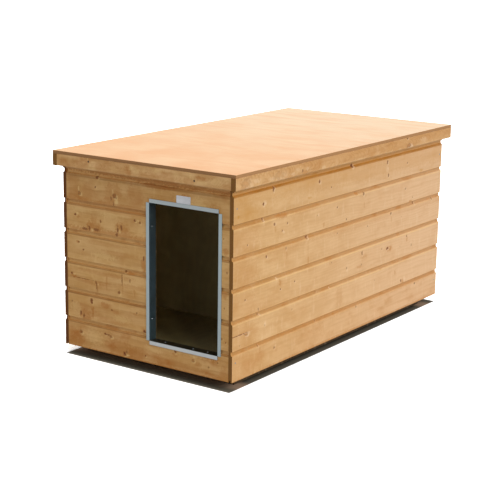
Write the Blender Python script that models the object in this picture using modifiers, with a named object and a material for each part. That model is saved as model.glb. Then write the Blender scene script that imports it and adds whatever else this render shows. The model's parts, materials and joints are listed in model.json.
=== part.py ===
"""Wooden dog kennel: shiplap walls on a raised floor, a metal-edged doorway and a hinged flat roof.

The doorway end faces -Y, the length runs along Y and +Z is up. The origin is on the ground, under
the middle of the roof. Sizes are in metres, and round pieces are turned about their own Z axis.
"""

import math

import bmesh
import bpy
from mathutils import Matrix, Vector

# Walls, over the outer faces of the cladding
WALL_LENGTH = 1.508
WALL_WIDTH = 0.772
GROUND_CLEARANCE = 0.035
CLADDING_DROP = 0.035

# Doorway in the front wall, and the passage inside
DOOR_WIDTH = 0.304
DOOR_HEIGHT = 0.507
DOOR_HEADER_HEIGHT = 0.133
LOBBY_DEPTH = 0.467
PASSAGE_WIDTH = 0.300
PASSAGE_THRESHOLD = 0.040
PASSAGE_HEADER = 0.135
PASSAGE_SIDE_MARGIN = 0.050

# Shiplap boards
BOARD_THICKNESS = 0.0145
BOARD_COVER = 0.112
JOINT_HEIGHT = 0.0156
JOINT_DEPTH = 0.0065
SCOOP_HEIGHT = 0.008
TONGUE_HEIGHT = 0.0075
ARRIS_RADIUS = 0.001

# Frame timber, floor and bearers
POST_SIZE = 0.045
STUD_WIDTH = 0.045
STUD_DEPTH = 0.027
SILL_RAIL_HEIGHT = 0.037
HEAD_RAIL_HEIGHT = 0.045
PARTITION_THICKNESS = 0.012
FLOOR_THICKNESS = 0.012
BEARER_WIDTH = 0.045
BEARER_SIDE_INSET = 0.044
BEARER_END_INSET = 0.075

# Roof sheet, and the fascia frame that caps the walls
ROOF_THICKNESS = 0.012
FASCIA_HEIGHT = 0.044
FASCIA_THICKNESS = 0.020
FASCIA_WALL_GAP = 0.006
FASCIA_EDGE_RADIUS = 0.004

# Metal angles round the doorway
ANGLE_THICKNESS = 0.0015
ANGLE_FACE = 0.014
ANGLE_REVEAL = 0.038

# Blank plate over the doorway
PLATE_WIDTH = 0.062
PLATE_HEIGHT = 0.027
PLATE_THICKNESS = 0.001

# Butt hinges under the fascia of the left wall
HINGE_LENGTH = 0.075
HINGE_END_INSET = 0.260
HINGE_PIN_RADIUS = 0.002
KNUCKLE_WALL = 0.002
KNUCKLE_STANDOFF = 0.001
LEAF_THICKNESS = 0.002
WALL_LEAF_WIDTH = 0.034
KNUCKLES_PER_HINGE = 3

# Fits and mesh detail
CLEARANCE = 0.0003
CUT_OVERRUN = 0.010
WELD_DISTANCE = 0.00001
ROUND_STEPS = 16
ARC_STEPS = 5
ARRIS_STEPS = 2

# Heights over the ground
WALL_BOTTOM = GROUND_CLEARANCE
BEARER_HEIGHT = GROUND_CLEARANCE + CLADDING_DROP
FLOOR_BOTTOM = BEARER_HEIGHT + CLEARANCE
FLOOR_TOP = FLOOR_BOTTOM + FLOOR_THICKNESS
FRAME_BOTTOM = FLOOR_TOP + CLEARANCE
SILL_RAIL_TOP = FRAME_BOTTOM + SILL_RAIL_HEIGHT
DOOR_BOTTOM = SILL_RAIL_TOP + CLEARANCE + ANGLE_THICKNESS
DOOR_TOP = DOOR_BOTTOM + DOOR_HEIGHT
WALL_TOP = DOOR_TOP + DOOR_HEADER_HEIGHT
ROOF_BOTTOM = WALL_TOP + CLEARANCE
ROOF_TOP = ROOF_BOTTOM + ROOF_THICKNESS
FASCIA_TOP = ROOF_BOTTOM - CLEARANCE
FASCIA_BOTTOM = FASCIA_TOP - FASCIA_HEIGHT

# Places across and along the kennel
HALF_WIDTH = WALL_WIDTH / 2
HALF_LENGTH = WALL_LENGTH / 2
INNER_HALF_WIDTH = HALF_WIDTH - BOARD_THICKNESS - CLEARANCE
INNER_HALF_LENGTH = HALF_LENGTH - BOARD_THICKNESS - CLEARANCE
ROOF_OVERHANG = FASCIA_THICKNESS + FASCIA_WALL_GAP
ROOF_HALF_WIDTH = HALF_WIDTH + ROOF_OVERHANG
ROOF_HALF_LENGTH = HALF_LENGTH + ROOF_OVERHANG
POST_INNER_X = INNER_HALF_WIDTH - POST_SIZE
ANGLE_SEAT = CLEARANCE + ANGLE_THICKNESS
DOOR_RIGHT = POST_INNER_X - ANGLE_SEAT
DOOR_LEFT = DOOR_RIGHT - DOOR_WIDTH
FRAME_BACK = -INNER_HALF_LENGTH + STUD_DEPTH
PARTITION_FRONT = -INNER_HALF_LENGTH + LOBBY_DEPTH
PARTITION_BACK = PARTITION_FRONT + PARTITION_THICKNESS
PASSAGE_RIGHT = INNER_HALF_WIDTH - PASSAGE_SIDE_MARGIN
PASSAGE_LEFT = PASSAGE_RIGHT - PASSAGE_WIDTH

# Hinge axis, beside the left wall and under its fascia
KNUCKLE_RADIUS = HINGE_PIN_RADIUS + KNUCKLE_WALL
HINGE_AXIS_OFFSET = KNUCKLE_RADIUS + KNUCKLE_STANDOFF
HINGE_X = -HALF_WIDTH - HINGE_AXIS_OFFSET
HINGE_Z = FASCIA_BOTTOM - HINGE_AXIS_OFFSET
LID_LEAF_WIDTH = ROOF_OVERHANG - HINGE_AXIS_OFFSET - FASCIA_EDGE_RADIUS

BOARD_COUNT = math.ceil((WALL_TOP - WALL_BOTTOM) / BOARD_COVER)

# Each wall without an opening: its name, the way it faces inward, its distance out and its boards' length
PLAIN_WALLS = (
    ("right", math.radians(180), HALF_WIDTH, WALL_LENGTH),
    ("left", 0, HALF_WIDTH, WALL_LENGTH),
    ("back", math.radians(-90), HALF_LENGTH, 2 * INNER_HALF_WIDTH),
)

# Colour, roughness and metallic value of each material
FINISHES = {
    "cladding": ((0.60, 0.36, 0.14), 0.60, 0.0),
    "fascia": ((0.55, 0.33, 0.14), 0.60, 0.0),
    "roof_plywood": ((0.92, 0.66, 0.42), 0.55, 0.0),
    "inner_plywood": ((0.36, 0.24, 0.12), 0.70, 0.0),
    "frame_timber": ((0.58, 0.38, 0.18), 0.70, 0.0),
    "bearer_timber": ((0.20, 0.14, 0.08), 0.80, 0.0),
    "trim_metal": ((0.40, 0.45, 0.48), 0.35, 1.0),
    "plate_metal": ((0.60, 0.62, 0.65), 0.30, 1.0),
    "hinge_steel": ((0.50, 0.50, 0.50), 0.35, 1.0),
}


def clear_scene():
    """Remove the objects that the scene starts with."""
    for obj in list(bpy.data.objects):
        bpy.data.objects.remove(obj, do_unlink=True)


def new_collection(name):
    """A collection linked to the scene."""
    collection = bpy.data.collections.new(name)
    bpy.context.scene.collection.children.link(collection)
    return collection


def make_material(name):
    """The named finish as a Principled material, made once."""
    if name in bpy.data.materials:
        return bpy.data.materials[name]
    colour, roughness, metallic = FINISHES[name]
    material = bpy.data.materials.new(name)
    material.use_nodes = True
    shader = material.node_tree.nodes["Principled BSDF"]
    shader.inputs["Base Color"].default_value = (*colour, 1)
    shader.inputs["Roughness"].default_value = roughness
    shader.inputs["Metallic"].default_value = metallic
    return material


def add_piece(name, mesh, finish):
    """A visible object with its material."""
    piece = bpy.data.objects.new(name, mesh)
    mesh.materials.clear()
    mesh.materials.append(make_material(finish))
    KENNEL.objects.link(piece)
    return piece


def add_cutter(name, mesh):
    """A helper that cuts other pieces and is never shown."""
    cutter = bpy.data.objects.new(name, mesh)
    cutter.hide_render = True
    cutter.display_type = "WIRE"
    CUTTERS.objects.link(cutter)
    return cutter


def box_mesh(name, size):
    """A box about its own middle."""
    mesh = bpy.data.meshes.new(name)
    shape = bmesh.new()
    bmesh.ops.create_cube(shape, size=1)
    bmesh.ops.scale(shape, vec=size, verts=shape.verts)
    shape.to_mesh(mesh)
    shape.free()
    return mesh


def box_between(name, low, high, finish):
    """A box piece from its low corner to its high corner, placed at its middle."""
    low, high = Vector(low), Vector(high)
    piece = add_piece(name, box_mesh(name, high - low), finish)
    piece.location = (low + high) / 2
    return piece


def cutter_between(name, low, high):
    """A box cutter from its low corner to its high corner."""
    low, high = Vector(low), Vector(high)
    cutter = add_cutter(name, box_mesh(name, high - low))
    cutter.location = (low + high) / 2
    return cutter


def baked(obj):
    """The object's evaluated mesh, welded and with its faces turned out. The object itself is removed."""
    if not obj.users_collection:
        bpy.context.scene.collection.objects.link(obj)
    graph = bpy.context.evaluated_depsgraph_get()
    mesh = bpy.data.meshes.new_from_object(obj.evaluated_get(graph))
    bpy.data.objects.remove(obj, do_unlink=True)
    shape = bmesh.new()
    shape.from_mesh(mesh)
    bmesh.ops.remove_doubles(shape, verts=shape.verts, dist=WELD_DISTANCE)
    bmesh.ops.recalc_face_normals(shape, faces=shape.faces)
    shape.to_mesh(mesh)
    shape.free()
    return mesh


def prism_mesh(name, outline, length):
    """A closed outline of x and y points, extruded along Z about the outline's plane."""
    curve = bpy.data.curves.new(name, "CURVE")
    curve.dimensions = "2D"
    curve.fill_mode = "BOTH"
    curve.extrude = length / 2
    spline = curve.splines.new("POLY")
    spline.points.add(len(outline) - 1)
    for point, (x, y) in zip(spline.points, outline):
        point.co = (x, y, 0, 1)
    spline.use_cyclic_u = True
    return baked(bpy.data.objects.new(name, curve))


def turned_mesh(name, profile):
    """A profile of radius and height points, from the axis and back to it, turned about Z."""
    mesh = bpy.data.meshes.new(name)
    points = [(radius, 0, height) for radius, height in profile]
    mesh.from_pydata(points, [(at, at + 1) for at in range(len(points) - 1)], [])
    turned = bpy.data.objects.new(name, mesh)
    screw = turned.modifiers.new("turn", "SCREW")
    screw.steps = ROUND_STEPS
    screw.render_steps = ROUND_STEPS
    screw.use_merge_vertices = True
    screw.merge_threshold = WELD_DISTANCE
    mesh = baked(turned)
    mesh.shade_smooth()
    mesh.set_sharp_from_angle(angle=math.radians(30))
    return mesh


def rod_mesh(name, radius, low, high):
    """A plain round bar along Z, from one height to another."""
    return turned_mesh(name, [(0, high), (radius, high), (radius, low), (0, low)])


def use_tool(piece, tool, operation):
    """Cut the piece with the tool, or join the tool to it."""
    boolean = piece.modifiers.new(tool.name, "BOOLEAN")
    boolean.operation = operation
    boolean.solver = "EXACT"
    boolean.object = tool


def arc(centre, radii, start, end, steps):
    """Points along an elliptical arc between two angles in degrees."""
    turns = [math.radians(start + (end - start) * step / steps) for step in range(steps + 1)]
    return [(centre[0] + radii[0] * math.cos(turn), centre[1] + radii[1] * math.sin(turn)) for turn in turns]


def board_outline():
    """Shiplap section in depth and height: lapping foot, flat face, scooped shoulder and tongue."""
    shoulder = BOARD_COVER - JOINT_HEIGHT
    lap = JOINT_DEPTH - CLEARANCE
    rebate = TONGUE_HEIGHT + CLEARANCE
    tongue_top = BOARD_COVER + TONGUE_HEIGHT
    arris = (ARRIS_RADIUS, ARRIS_RADIUS)
    scoop = (JOINT_DEPTH - ARRIS_RADIUS, SCOOP_HEIGHT)
    outline = arc(arris, arris, 270, 180, ARRIS_STEPS)
    outline += arc((ARRIS_RADIUS, shoulder - ARRIS_RADIUS), arris, 180, 90, ARRIS_STEPS)
    outline += arc((ARRIS_RADIUS, shoulder + SCOOP_HEIGHT), scoop, -90, 0, ARC_STEPS)[1:]
    outline += [(JOINT_DEPTH, tongue_top), (BOARD_THICKNESS, tongue_top)]
    outline += [(BOARD_THICKNESS, rebate), (lap, rebate), (lap, 0)]
    return outline


def add_board(name, length, inward, foot):
    """One cladding board, as long as given, with its outer face on its own origin."""
    board = add_piece(name, prism_mesh(name, board_outline(), length), "cladding")
    board.rotation_euler = (math.radians(90), 0, inward)
    board.location.z = foot
    if foot + BOARD_COVER + TONGUE_HEIGHT > WALL_TOP:
        use_tool(board, CUTTERS.objects["rip_cutter"], "DIFFERENCE")
    return board


def make_plain_walls():
    """Clad the two long walls and the back wall, board by board from the bottom."""
    for wall, inward, distance, length in PLAIN_WALLS:
        for course in range(BOARD_COUNT):
            foot = WALL_BOTTOM + course * BOARD_COVER
            board = add_board(f"{wall}_board_{course + 1}", length, inward, foot)
            board.location.x = -distance * math.cos(inward)
            board.location.y = -distance * math.sin(inward)


def make_front_wall():
    """Clad the front wall. The doorway parts the boards that it passes and notches those at its ends."""
    inward = math.radians(90)
    opening_low = DOOR_BOTTOM - ANGLE_SEAT
    opening_high = DOOR_TOP + ANGLE_SEAT
    whole = {"front_board": (-INNER_HALF_WIDTH, INNER_HALF_WIDTH)}
    parted = {
        "front_left_board": (-INNER_HALF_WIDTH, DOOR_LEFT - ANGLE_SEAT),
        "front_right_board": (DOOR_RIGHT + ANGLE_SEAT, INNER_HALF_WIDTH),
    }
    for course in range(BOARD_COUNT):
        foot = WALL_BOTTOM + course * BOARD_COVER
        head = foot + BOARD_COVER + TONGUE_HEIGHT
        passed = foot >= opening_low and head <= opening_high
        notched = not passed and foot < opening_high and head > opening_low
        for place, (start, end) in (parted if passed else whole).items():
            board = add_board(f"{place}_{course + 1}", end - start, inward, foot)
            board.location.x = (start + end) / 2
            board.location.y = -HALF_LENGTH
            if notched:
                use_tool(board, CUTTERS.objects["doorway_cutter"], "DIFFERENCE")


def make_wall_cutters():
    """The cutters that rip the top boards to the walls' height and notch the front boards for the doorway."""
    cutter_between(
        "rip_cutter",
        (-ROOF_HALF_WIDTH, -ROOF_HALF_LENGTH, WALL_TOP),
        (ROOF_HALF_WIDTH, ROOF_HALF_LENGTH, WALL_TOP + BOARD_COVER + CUT_OVERRUN),
    )
    cutter_between(
        "doorway_cutter",
        (DOOR_LEFT - ANGLE_SEAT, -HALF_LENGTH - CUT_OVERRUN, DOOR_BOTTOM - ANGLE_SEAT),
        (DOOR_RIGHT + ANGLE_SEAT, -INNER_HALF_LENGTH + CUT_OVERRUN, DOOR_TOP + ANGLE_SEAT),
    )


def make_base():
    """Three bearers along the kennel, with the floor sheet on them."""
    outer = HALF_WIDTH - BEARER_SIDE_INSET
    run = HALF_LENGTH - BEARER_END_INSET
    lefts = {"left": -outer, "middle": -BEARER_WIDTH / 2, "right": outer - BEARER_WIDTH}
    for side, left in lefts.items():
        low = (left, -run, 0)
        high = (left + BEARER_WIDTH, run, BEARER_HEIGHT)
        box_between(f"bearer_{side}", low, high, "bearer_timber")
    box_between(
        "floor_sheet",
        (-INNER_HALF_WIDTH, -INNER_HALF_LENGTH, FLOOR_BOTTOM),
        (INNER_HALF_WIDTH, INNER_HALF_LENGTH, FLOOR_TOP),
        "inner_plywood",
    )


def make_posts():
    """A square post in each corner, which the boards are fixed to."""
    for end, along in (("front", -1), ("back", 1)):
        for side, across in (("left", -1), ("right", 1)):
            low_x = min(across * INNER_HALF_WIDTH, across * POST_INNER_X)
            low_y = min(along * INNER_HALF_LENGTH, along * (INNER_HALF_LENGTH - POST_SIZE))
            box_between(
                f"corner_post_{end}_{side}",
                (low_x, low_y, FRAME_BOTTOM),
                (low_x + POST_SIZE, low_y + POST_SIZE, WALL_TOP),
                "frame_timber",
            )


def make_door_frame():
    """The sill rail, the stud and the head rail that edge the doorway with the right-hand post."""
    stud_right = DOOR_LEFT - ANGLE_SEAT
    head_bottom = DOOR_TOP + ANGLE_SEAT
    box_between(
        "door_sill_rail",
        (-POST_INNER_X + CLEARANCE, -INNER_HALF_LENGTH, FRAME_BOTTOM),
        (POST_INNER_X - CLEARANCE, FRAME_BACK, SILL_RAIL_TOP),
        "frame_timber",
    )
    box_between(
        "door_stud",
        (stud_right - STUD_WIDTH, -INNER_HALF_LENGTH, SILL_RAIL_TOP + CLEARANCE),
        (stud_right, FRAME_BACK, WALL_TOP),
        "frame_timber",
    )
    box_between(
        "door_head_rail",
        (stud_right + CLEARANCE, -INNER_HALF_LENGTH, head_bottom),
        (POST_INNER_X - CLEARANCE, FRAME_BACK, head_bottom + HEAD_RAIL_HEIGHT),
        "frame_timber",
    )


def make_partition_studs():
    """The studs behind the two ends of the partition."""
    stud_front = PARTITION_BACK + CLEARANCE
    lefts = {"left": -INNER_HALF_WIDTH, "right": INNER_HALF_WIDTH - STUD_DEPTH}
    for side, left in lefts.items():
        box_between(
            f"partition_stud_{side}",
            (left, stud_front, FRAME_BOTTOM),
            (left + STUD_DEPTH, stud_front + STUD_WIDTH, WALL_TOP),
            "frame_timber",
        )


def make_partition():
    """The panel between the lobby and the sleeping end, with a passage through it on the right."""
    panel = box_between(
        "partition_panel",
        (-INNER_HALF_WIDTH, PARTITION_FRONT, FRAME_BOTTOM),
        (INNER_HALF_WIDTH, PARTITION_BACK, WALL_TOP),
        "inner_plywood",
    )
    passage = cutter_between(
        "passage_cutter",
        (PASSAGE_LEFT, PARTITION_FRONT - CUT_OVERRUN, FRAME_BOTTOM + PASSAGE_THRESHOLD),
        (PASSAGE_RIGHT, PARTITION_BACK + CUT_OVERRUN, WALL_TOP - PASSAGE_HEADER),
    )
    use_tool(panel, passage, "DIFFERENCE")


def make_angles():
    """Four metal angles round the doorway, each with one leg on the boards and one along the reveal."""
    outline = [
        (0, 0),
        (ANGLE_FACE, 0),
        (ANGLE_FACE, ANGLE_THICKNESS),
        (ANGLE_THICKNESS, ANGLE_THICKNESS),
        (ANGLE_THICKNESS, ANGLE_REVEAL),
        (0, ANGLE_REVEAL),
    ]
    middle_x = (DOOR_LEFT + DOOR_RIGHT) / 2
    middle_z = (DOOR_BOTTOM + DOOR_TOP) / 2
    sides = (
        ("right", 0, DOOR_RIGHT, middle_z, DOOR_HEIGHT),
        ("left", 180, DOOR_LEFT, middle_z, DOOR_HEIGHT),
        ("top", -90, middle_x, DOOR_TOP, DOOR_WIDTH),
        ("bottom", 90, middle_x, DOOR_BOTTOM, DOOR_WIDTH),
    )
    for side, turn, x, z, length in sides:
        name = f"door_angle_{side}"
        angle = add_piece(name, prism_mesh(name, outline, length - 2 * CLEARANCE), "trim_metal")
        angle.location = (x, -HALF_LENGTH - ANGLE_SEAT, z)
        angle.rotation_euler = (0, math.radians(turn), 0)


def make_plate():
    """The blank plate on the board over the doorway."""
    middle = (DOOR_LEFT + DOOR_RIGHT) / 2
    bottom = DOOR_TOP + ANGLE_FACE + CLEARANCE
    face = -HALF_LENGTH - CLEARANCE
    box_between(
        "name_plate",
        (middle - PLATE_WIDTH / 2, face - PLATE_THICKNESS, bottom),
        (middle + PLATE_WIDTH / 2, face, bottom + PLATE_HEIGHT),
        "plate_metal",
    )


def fascia_outline():
    """Fascia section, from its inner face out and from its foot up, with a rounded lower outer edge."""
    radius = FASCIA_EDGE_RADIUS
    outline = [(0, 0)]
    outline += arc((FASCIA_THICKNESS - radius, radius), (radius, radius), -90, 0, ARC_STEPS)
    outline += [(FASCIA_THICKNESS, FASCIA_HEIGHT), (0, FASCIA_HEIGHT)]
    return outline


def make_roof():
    """The roof sheet on its fascia frame. Returns the pieces."""
    sheet = box_between(
        "roof_sheet",
        (-ROOF_HALF_WIDTH, -ROOF_HALF_LENGTH, ROOF_BOTTOM),
        (ROOF_HALF_WIDTH, ROOF_HALF_LENGTH, ROOF_TOP),
        "roof_plywood",
    )
    end_length = 2 * (ROOF_HALF_WIDTH - FASCIA_THICKNESS - CLEARANCE)
    sides = (
        ("right", 0, ROOF_HALF_WIDTH, 2 * ROOF_HALF_LENGTH),
        ("left", 180, ROOF_HALF_WIDTH, 2 * ROOF_HALF_LENGTH),
        ("back", 90, ROOF_HALF_LENGTH, end_length),
        ("front", -90, ROOF_HALF_LENGTH, end_length),
    )
    roof = [sheet]
    for side, turn, distance, length in sides:
        name = f"fascia_{side}"
        fascia = add_piece(name, prism_mesh(name, fascia_outline(), length), "fascia")
        outward = math.radians(turn)
        inner = distance - FASCIA_THICKNESS
        fascia.location = (inner * math.cos(outward), inner * math.sin(outward), FASCIA_BOTTOM)
        fascia.rotation_euler = (math.radians(90), 0, outward)
        roof.append(fascia)
    return roof


def knuckle_spans():
    """The low and high end of each knuckle along the hinge, in order, with a gap between neighbours."""
    pitch = HINGE_LENGTH / KNUCKLES_PER_HINGE
    starts = [-HINGE_LENGTH / 2 + pitch * index for index in range(KNUCKLES_PER_HINGE)]
    return [(start + CLEARANCE / 2, start + pitch - CLEARANCE / 2) for start in starts]


def leaf_mesh(name, low, high, knuckles, gaps):
    """A hinge leaf with its knuckles about a pin along Z, cut clear of the other leaf's knuckles."""
    leaf = bpy.data.objects.new(name, box_mesh(name, Vector(high) - Vector(low)))
    leaf.location = (Vector(low) + Vector(high)) / 2
    bpy.context.scene.collection.objects.link(leaf)
    for start, end in gaps:
        gap = rod_mesh("gap", KNUCKLE_RADIUS + CLEARANCE, start - CLEARANCE, end + CLEARANCE)
        use_tool(leaf, add_cutter(f"{name}_gap_cutter", gap), "DIFFERENCE")
    for start, end in knuckles:
        knuckle = rod_mesh("knuckle", KNUCKLE_RADIUS, start, end)
        use_tool(leaf, add_cutter(f"{name}_knuckle_tool", knuckle), "UNION")
    return leaf


def settled_mesh(piece):
    """The piece's mesh with its modifiers applied, about the origin that its location was measured from."""
    place = Matrix.Translation(piece.location)
    mesh = baked(piece)
    mesh.transform(place)
    return mesh


def make_hinges():
    """Two butt hinges between the left wall and its fascia. Returns the leaves that move with the roof."""
    spans = knuckle_spans()
    half = HINGE_LENGTH / 2
    seat = HINGE_AXIS_OFFSET - CLEARANCE
    # Each hinge is made upright and then laid along the wall, which turns its Y axis to world -Z.
    wall_low = (seat - LEAF_THICKNESS, 0, -half)
    wall_high = (seat, WALL_LEAF_WIDTH, half)
    wall_leaf = leaf_mesh("wall_leaf", wall_low, wall_high, spans[0::2], spans[1::2])
    pin = rod_mesh("pin", HINGE_PIN_RADIUS, -half + CLEARANCE, half - CLEARANCE)
    use_tool(wall_leaf, add_cutter("pin_tool", pin), "UNION")
    lid_low = (-LID_LEAF_WIDTH, -seat, -half)
    lid_high = (0, -seat + LEAF_THICKNESS, half)
    lid_leaf = leaf_mesh("lid_leaf", lid_low, lid_high, spans[1::2], spans[0::2])
    bore = rod_mesh("bore", HINGE_PIN_RADIUS + CLEARANCE, -HINGE_LENGTH, HINGE_LENGTH)
    use_tool(lid_leaf, add_cutter("bore_cutter", bore), "DIFFERENCE")
    leaves = {"wall": settled_mesh(wall_leaf), "lid": settled_mesh(lid_leaf)}
    reach = HALF_LENGTH - HINGE_END_INSET
    lid_leaves = []
    for end, along in (("front", -1), ("rear", 1)):
        for side, mesh in leaves.items():
            leaf = add_piece(f"{end}_hinge_{side}_leaf", mesh, "hinge_steel")
            leaf.location = (HINGE_X, along * reach, HINGE_Z)
            leaf.rotation_euler = (math.radians(-90), 0, 0)
            if side == "lid":
                lid_leaves.append(leaf)
    return lid_leaves


def hang_lid(pieces):
    """Parent the roof's pieces to an empty on the hinge axis, where they stay in place."""
    axis = bpy.data.objects.new("lid_axis", None)
    axis.location = (HINGE_X, 0, HINGE_Z)
    KENNEL.objects.link(axis)
    bpy.context.view_layer.update()
    for piece in pieces:
        piece.parent = axis
        piece.matrix_parent_inverse = axis.matrix_world.inverted()


def main():
    """Build the kennel from the ground up."""
    make_base()
    make_wall_cutters()
    make_plain_walls()
    make_front_wall()
    make_posts()
    make_door_frame()
    make_partition_studs()
    make_partition()
    make_angles()
    make_plate()
    lid = make_roof() + make_hinges()
    hang_lid(lid)


clear_scene()
KENNEL = new_collection("dog_kennel")
CUTTERS = new_collection("cutters")
main()
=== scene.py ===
"""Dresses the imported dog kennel: timber, sheet and metal finishes, the screws, a studio and a camera."""

import json
import logging
import math
import random
from dataclasses import dataclass, replace
from enum import Enum
from typing import Iterable, Sequence, Union

import bmesh
import bpy
from mathutils import Matrix, Vector

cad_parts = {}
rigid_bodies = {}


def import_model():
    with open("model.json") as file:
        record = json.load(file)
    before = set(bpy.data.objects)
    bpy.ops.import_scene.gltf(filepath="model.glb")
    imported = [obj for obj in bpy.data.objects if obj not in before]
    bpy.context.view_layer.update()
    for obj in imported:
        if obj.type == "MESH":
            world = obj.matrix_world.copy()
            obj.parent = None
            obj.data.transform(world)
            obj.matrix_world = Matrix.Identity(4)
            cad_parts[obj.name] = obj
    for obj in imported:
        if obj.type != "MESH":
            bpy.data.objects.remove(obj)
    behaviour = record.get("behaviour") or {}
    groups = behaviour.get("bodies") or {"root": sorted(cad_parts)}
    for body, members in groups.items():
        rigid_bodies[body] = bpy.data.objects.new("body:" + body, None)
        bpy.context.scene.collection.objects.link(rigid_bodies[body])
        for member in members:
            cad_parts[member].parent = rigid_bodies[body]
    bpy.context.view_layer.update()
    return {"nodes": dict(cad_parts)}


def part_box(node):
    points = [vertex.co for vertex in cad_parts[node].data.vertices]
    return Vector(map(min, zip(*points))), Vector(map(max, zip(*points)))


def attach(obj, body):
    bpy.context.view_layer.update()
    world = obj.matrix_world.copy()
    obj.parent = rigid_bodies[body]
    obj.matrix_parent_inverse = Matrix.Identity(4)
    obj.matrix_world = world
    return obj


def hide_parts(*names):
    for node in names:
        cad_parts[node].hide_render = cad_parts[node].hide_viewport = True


Colour = tuple[float, float, float, float]
Rows = tuple[tuple[float, ...], ...]
Value = Union[float, Sequence[float], "Wire"]
Inputs = dict[Union[int, str], Value]
Coat = tuple[Value, Value]
Nodes = dict[str, bpy.types.Object]

LOG = logging.getLogger("kennel")
MM = 0.001
PHOTO_WIDTH_PX = 500
WELD_GAP = 1e-5
EASED_ANGLE = math.radians(40)
EASED_SEGMENTS = 2
SHARP_ANGLE = math.radians(32)


class Axis(Enum):
    """The world axis that a length runs along."""

    X = 0
    Y = 1
    Z = 2


class Lay(Enum):
    """How a sheet lies: the axes across its grain, along it and through the sheet."""

    LENGTHWISE = (0, 1, 2)
    CROSSWISE = (1, 0, 2)
    UPRIGHT = (0, 2, 1)


class Mark(Enum):
    """A kind of mark in the wood, or a band of painted shade or highlight: what it adds to, which output of the
    knot group draws it, and a share.
    """

    PIN = (("heart", "Heart", 1.0), ("amber", "Rim", 1.0), ("halo_and_highlight", "Halo", 0.8))
    RING = (("heart", "Rim", 0.62), ("amber", "Heart", 0.75), ("halo_and_highlight", "Halo", 1.0))
    # Stains, and bands of painted shadow
    STAIN_AND_SHADE = (("stain_and_shade", "Whole", 1.0),)
    # Pale flares in the wood, and bands of painted highlight
    FLARE_AND_HIGHLIGHT = (("halo_and_highlight", "Heart", 1.0),)
    WISP = (("heart", "Heart", 0.8), ("stain_and_shade", "Whole", 0.6))
    NAIL = (("nail", "Hole", 1.0),)


class Head(Enum):
    """A kind of screw head: its radius in metres, and how far it stands proud as a share of that."""

    COUNTERSUNK = (0.0032, 0.10)
    PAN = (0.0030, 0.42)


def srgb(red: float, green: float, blue: float) -> Colour:
    """Turns a colour as seen on a screen into the linear one that nodes take.

    Args:
        red: Red from 0 to 255.
        green: Green from 0 to 255.
        blue: Blue from 0 to 255.

    Returns:
        The linear colour with full alpha.
    """
    shares = (part / 255 for part in (red, green, blue))
    linear = (s / 12.92 if s <= 0.04045 else ((s + 0.055) / 1.055) ** 2.4 for s in shares)
    return (*linear, 1.0)


@dataclass(frozen=True)
class Knot:
    """A knot, streak, stained patch or crack on a board's face, or a band of painted shade or highlight, in
    millimetres.

    Attributes:
        along: Where it lies along the board, as the world coordinate of that axis.
        up: Its height over the board's foot.
        radius: Half its width along the board.
        dark: How dark its heart is, from 0 to 1.
        tall: Its height as a share of its width.
        kind: What it is.
    """

    along: float
    up: float
    radius: float
    dark: float
    tall: float = 1.0
    kind: Mark = Mark.PIN

    BENDING_TALL = 0.5

    def bends_grain(self) -> bool:
        """Says whether the grain runs round it."""
        return self.kind in (Mark.PIN, Mark.RING) and self.tall >= self.BENDING_TALL


@dataclass(frozen=True)
class TimberTone:
    """The colours that one kind of timber is mixed from.

    Attributes:
        pale: Early wood where it is lightest.
        honey: Early wood where it is deepest.
        late: The dark edge of each year ring.
        stain_and_shade: Where the treatment has pooled, and the painted shadow bands along some boards.
        end: End grain.
        heart: The heart of a knot.
        amber: The resin-rich wood round a heart.
        glow_and_highlight: The pale wood beside a knot, and the painted highlights along some boards.
        recess: What a joint's recess turns to; where it is pale, on the front and under the fascias, it is
            painted light against the recess's shade.
        foot_highlight: The painted highlight along a board's foot.
        far_sheen: The painted sheen that the board turns to towards its far end.
        ring_size: Width of a year ring in metres.
        ring_share: How strongly the rings show, from 0 to 1.
        rough: Roughness of the planed face.
        nail: A sunk nail's hole.
    """

    pale: Colour
    honey: Colour
    late: Colour
    stain_and_shade: Colour
    end: Colour
    heart: Colour
    amber: Colour
    glow_and_highlight: Colour = srgb(250, 220, 180)
    recess: Colour = srgb(170, 112, 22)
    foot_highlight: Colour = srgb(244, 196, 124)
    far_sheen: Colour = srgb(233, 191, 147)
    ring_size: float = 0.0095
    ring_share: float = 0.24
    rough: float = 0.55
    nail: Colour = srgb(34, 28, 24)


TREATED_SPRUCE = TimberTone(
    pale=srgb(229, 187, 133),
    honey=srgb(214, 168, 110),
    late=srgb(190, 138, 76),
    stain_and_shade=srgb(190, 124, 52),
    end=srgb(134, 94, 34),
    heart=srgb(126, 78, 42),
    amber=srgb(170, 110, 56),
)
# The front and back walls' copy, its colours set to how the front looks in shade, a painted shade; its recess
# and foot colours are pale, a painted light against the joints' shade
SHADED_SPRUCE = replace(
    TREATED_SPRUCE,
    pale=srgb(235, 191, 129),
    honey=srgb(216, 167, 100),
    late=srgb(178, 122, 56),
    stain_and_shade=srgb(180, 108, 34),
    heart=srgb(122, 64, 16),
    amber=srgb(160, 94, 30),
    glow_and_highlight=srgb(248, 210, 142),
    foot_highlight=srgb(248, 208, 138),
    recess=srgb(230, 180, 112),
)
# The front course under the fascia: a still paler recess, a painted light against the fascia's shade
UNDER_SPRUCE = replace(SHADED_SPRUCE, recess=srgb(248, 200, 128))
# The same shaded copy, a painted shade, for the front and back fascias, with a finer figure
SHADED_FASCIA = replace(
    SHADED_SPRUCE, pale=srgb(240, 196, 138), honey=srgb(214, 164, 104), ring_size=0.0046, ring_share=0.30,
)
LIT_FASCIA = replace(TREATED_SPRUCE, late=srgb(170, 114, 60), ring_size=0.0050, ring_share=0.42)
LEFT_SPRUCE = replace(TREATED_SPRUCE, end=srgb(94, 52, 8), heart=srgb(108, 60, 12))
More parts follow.
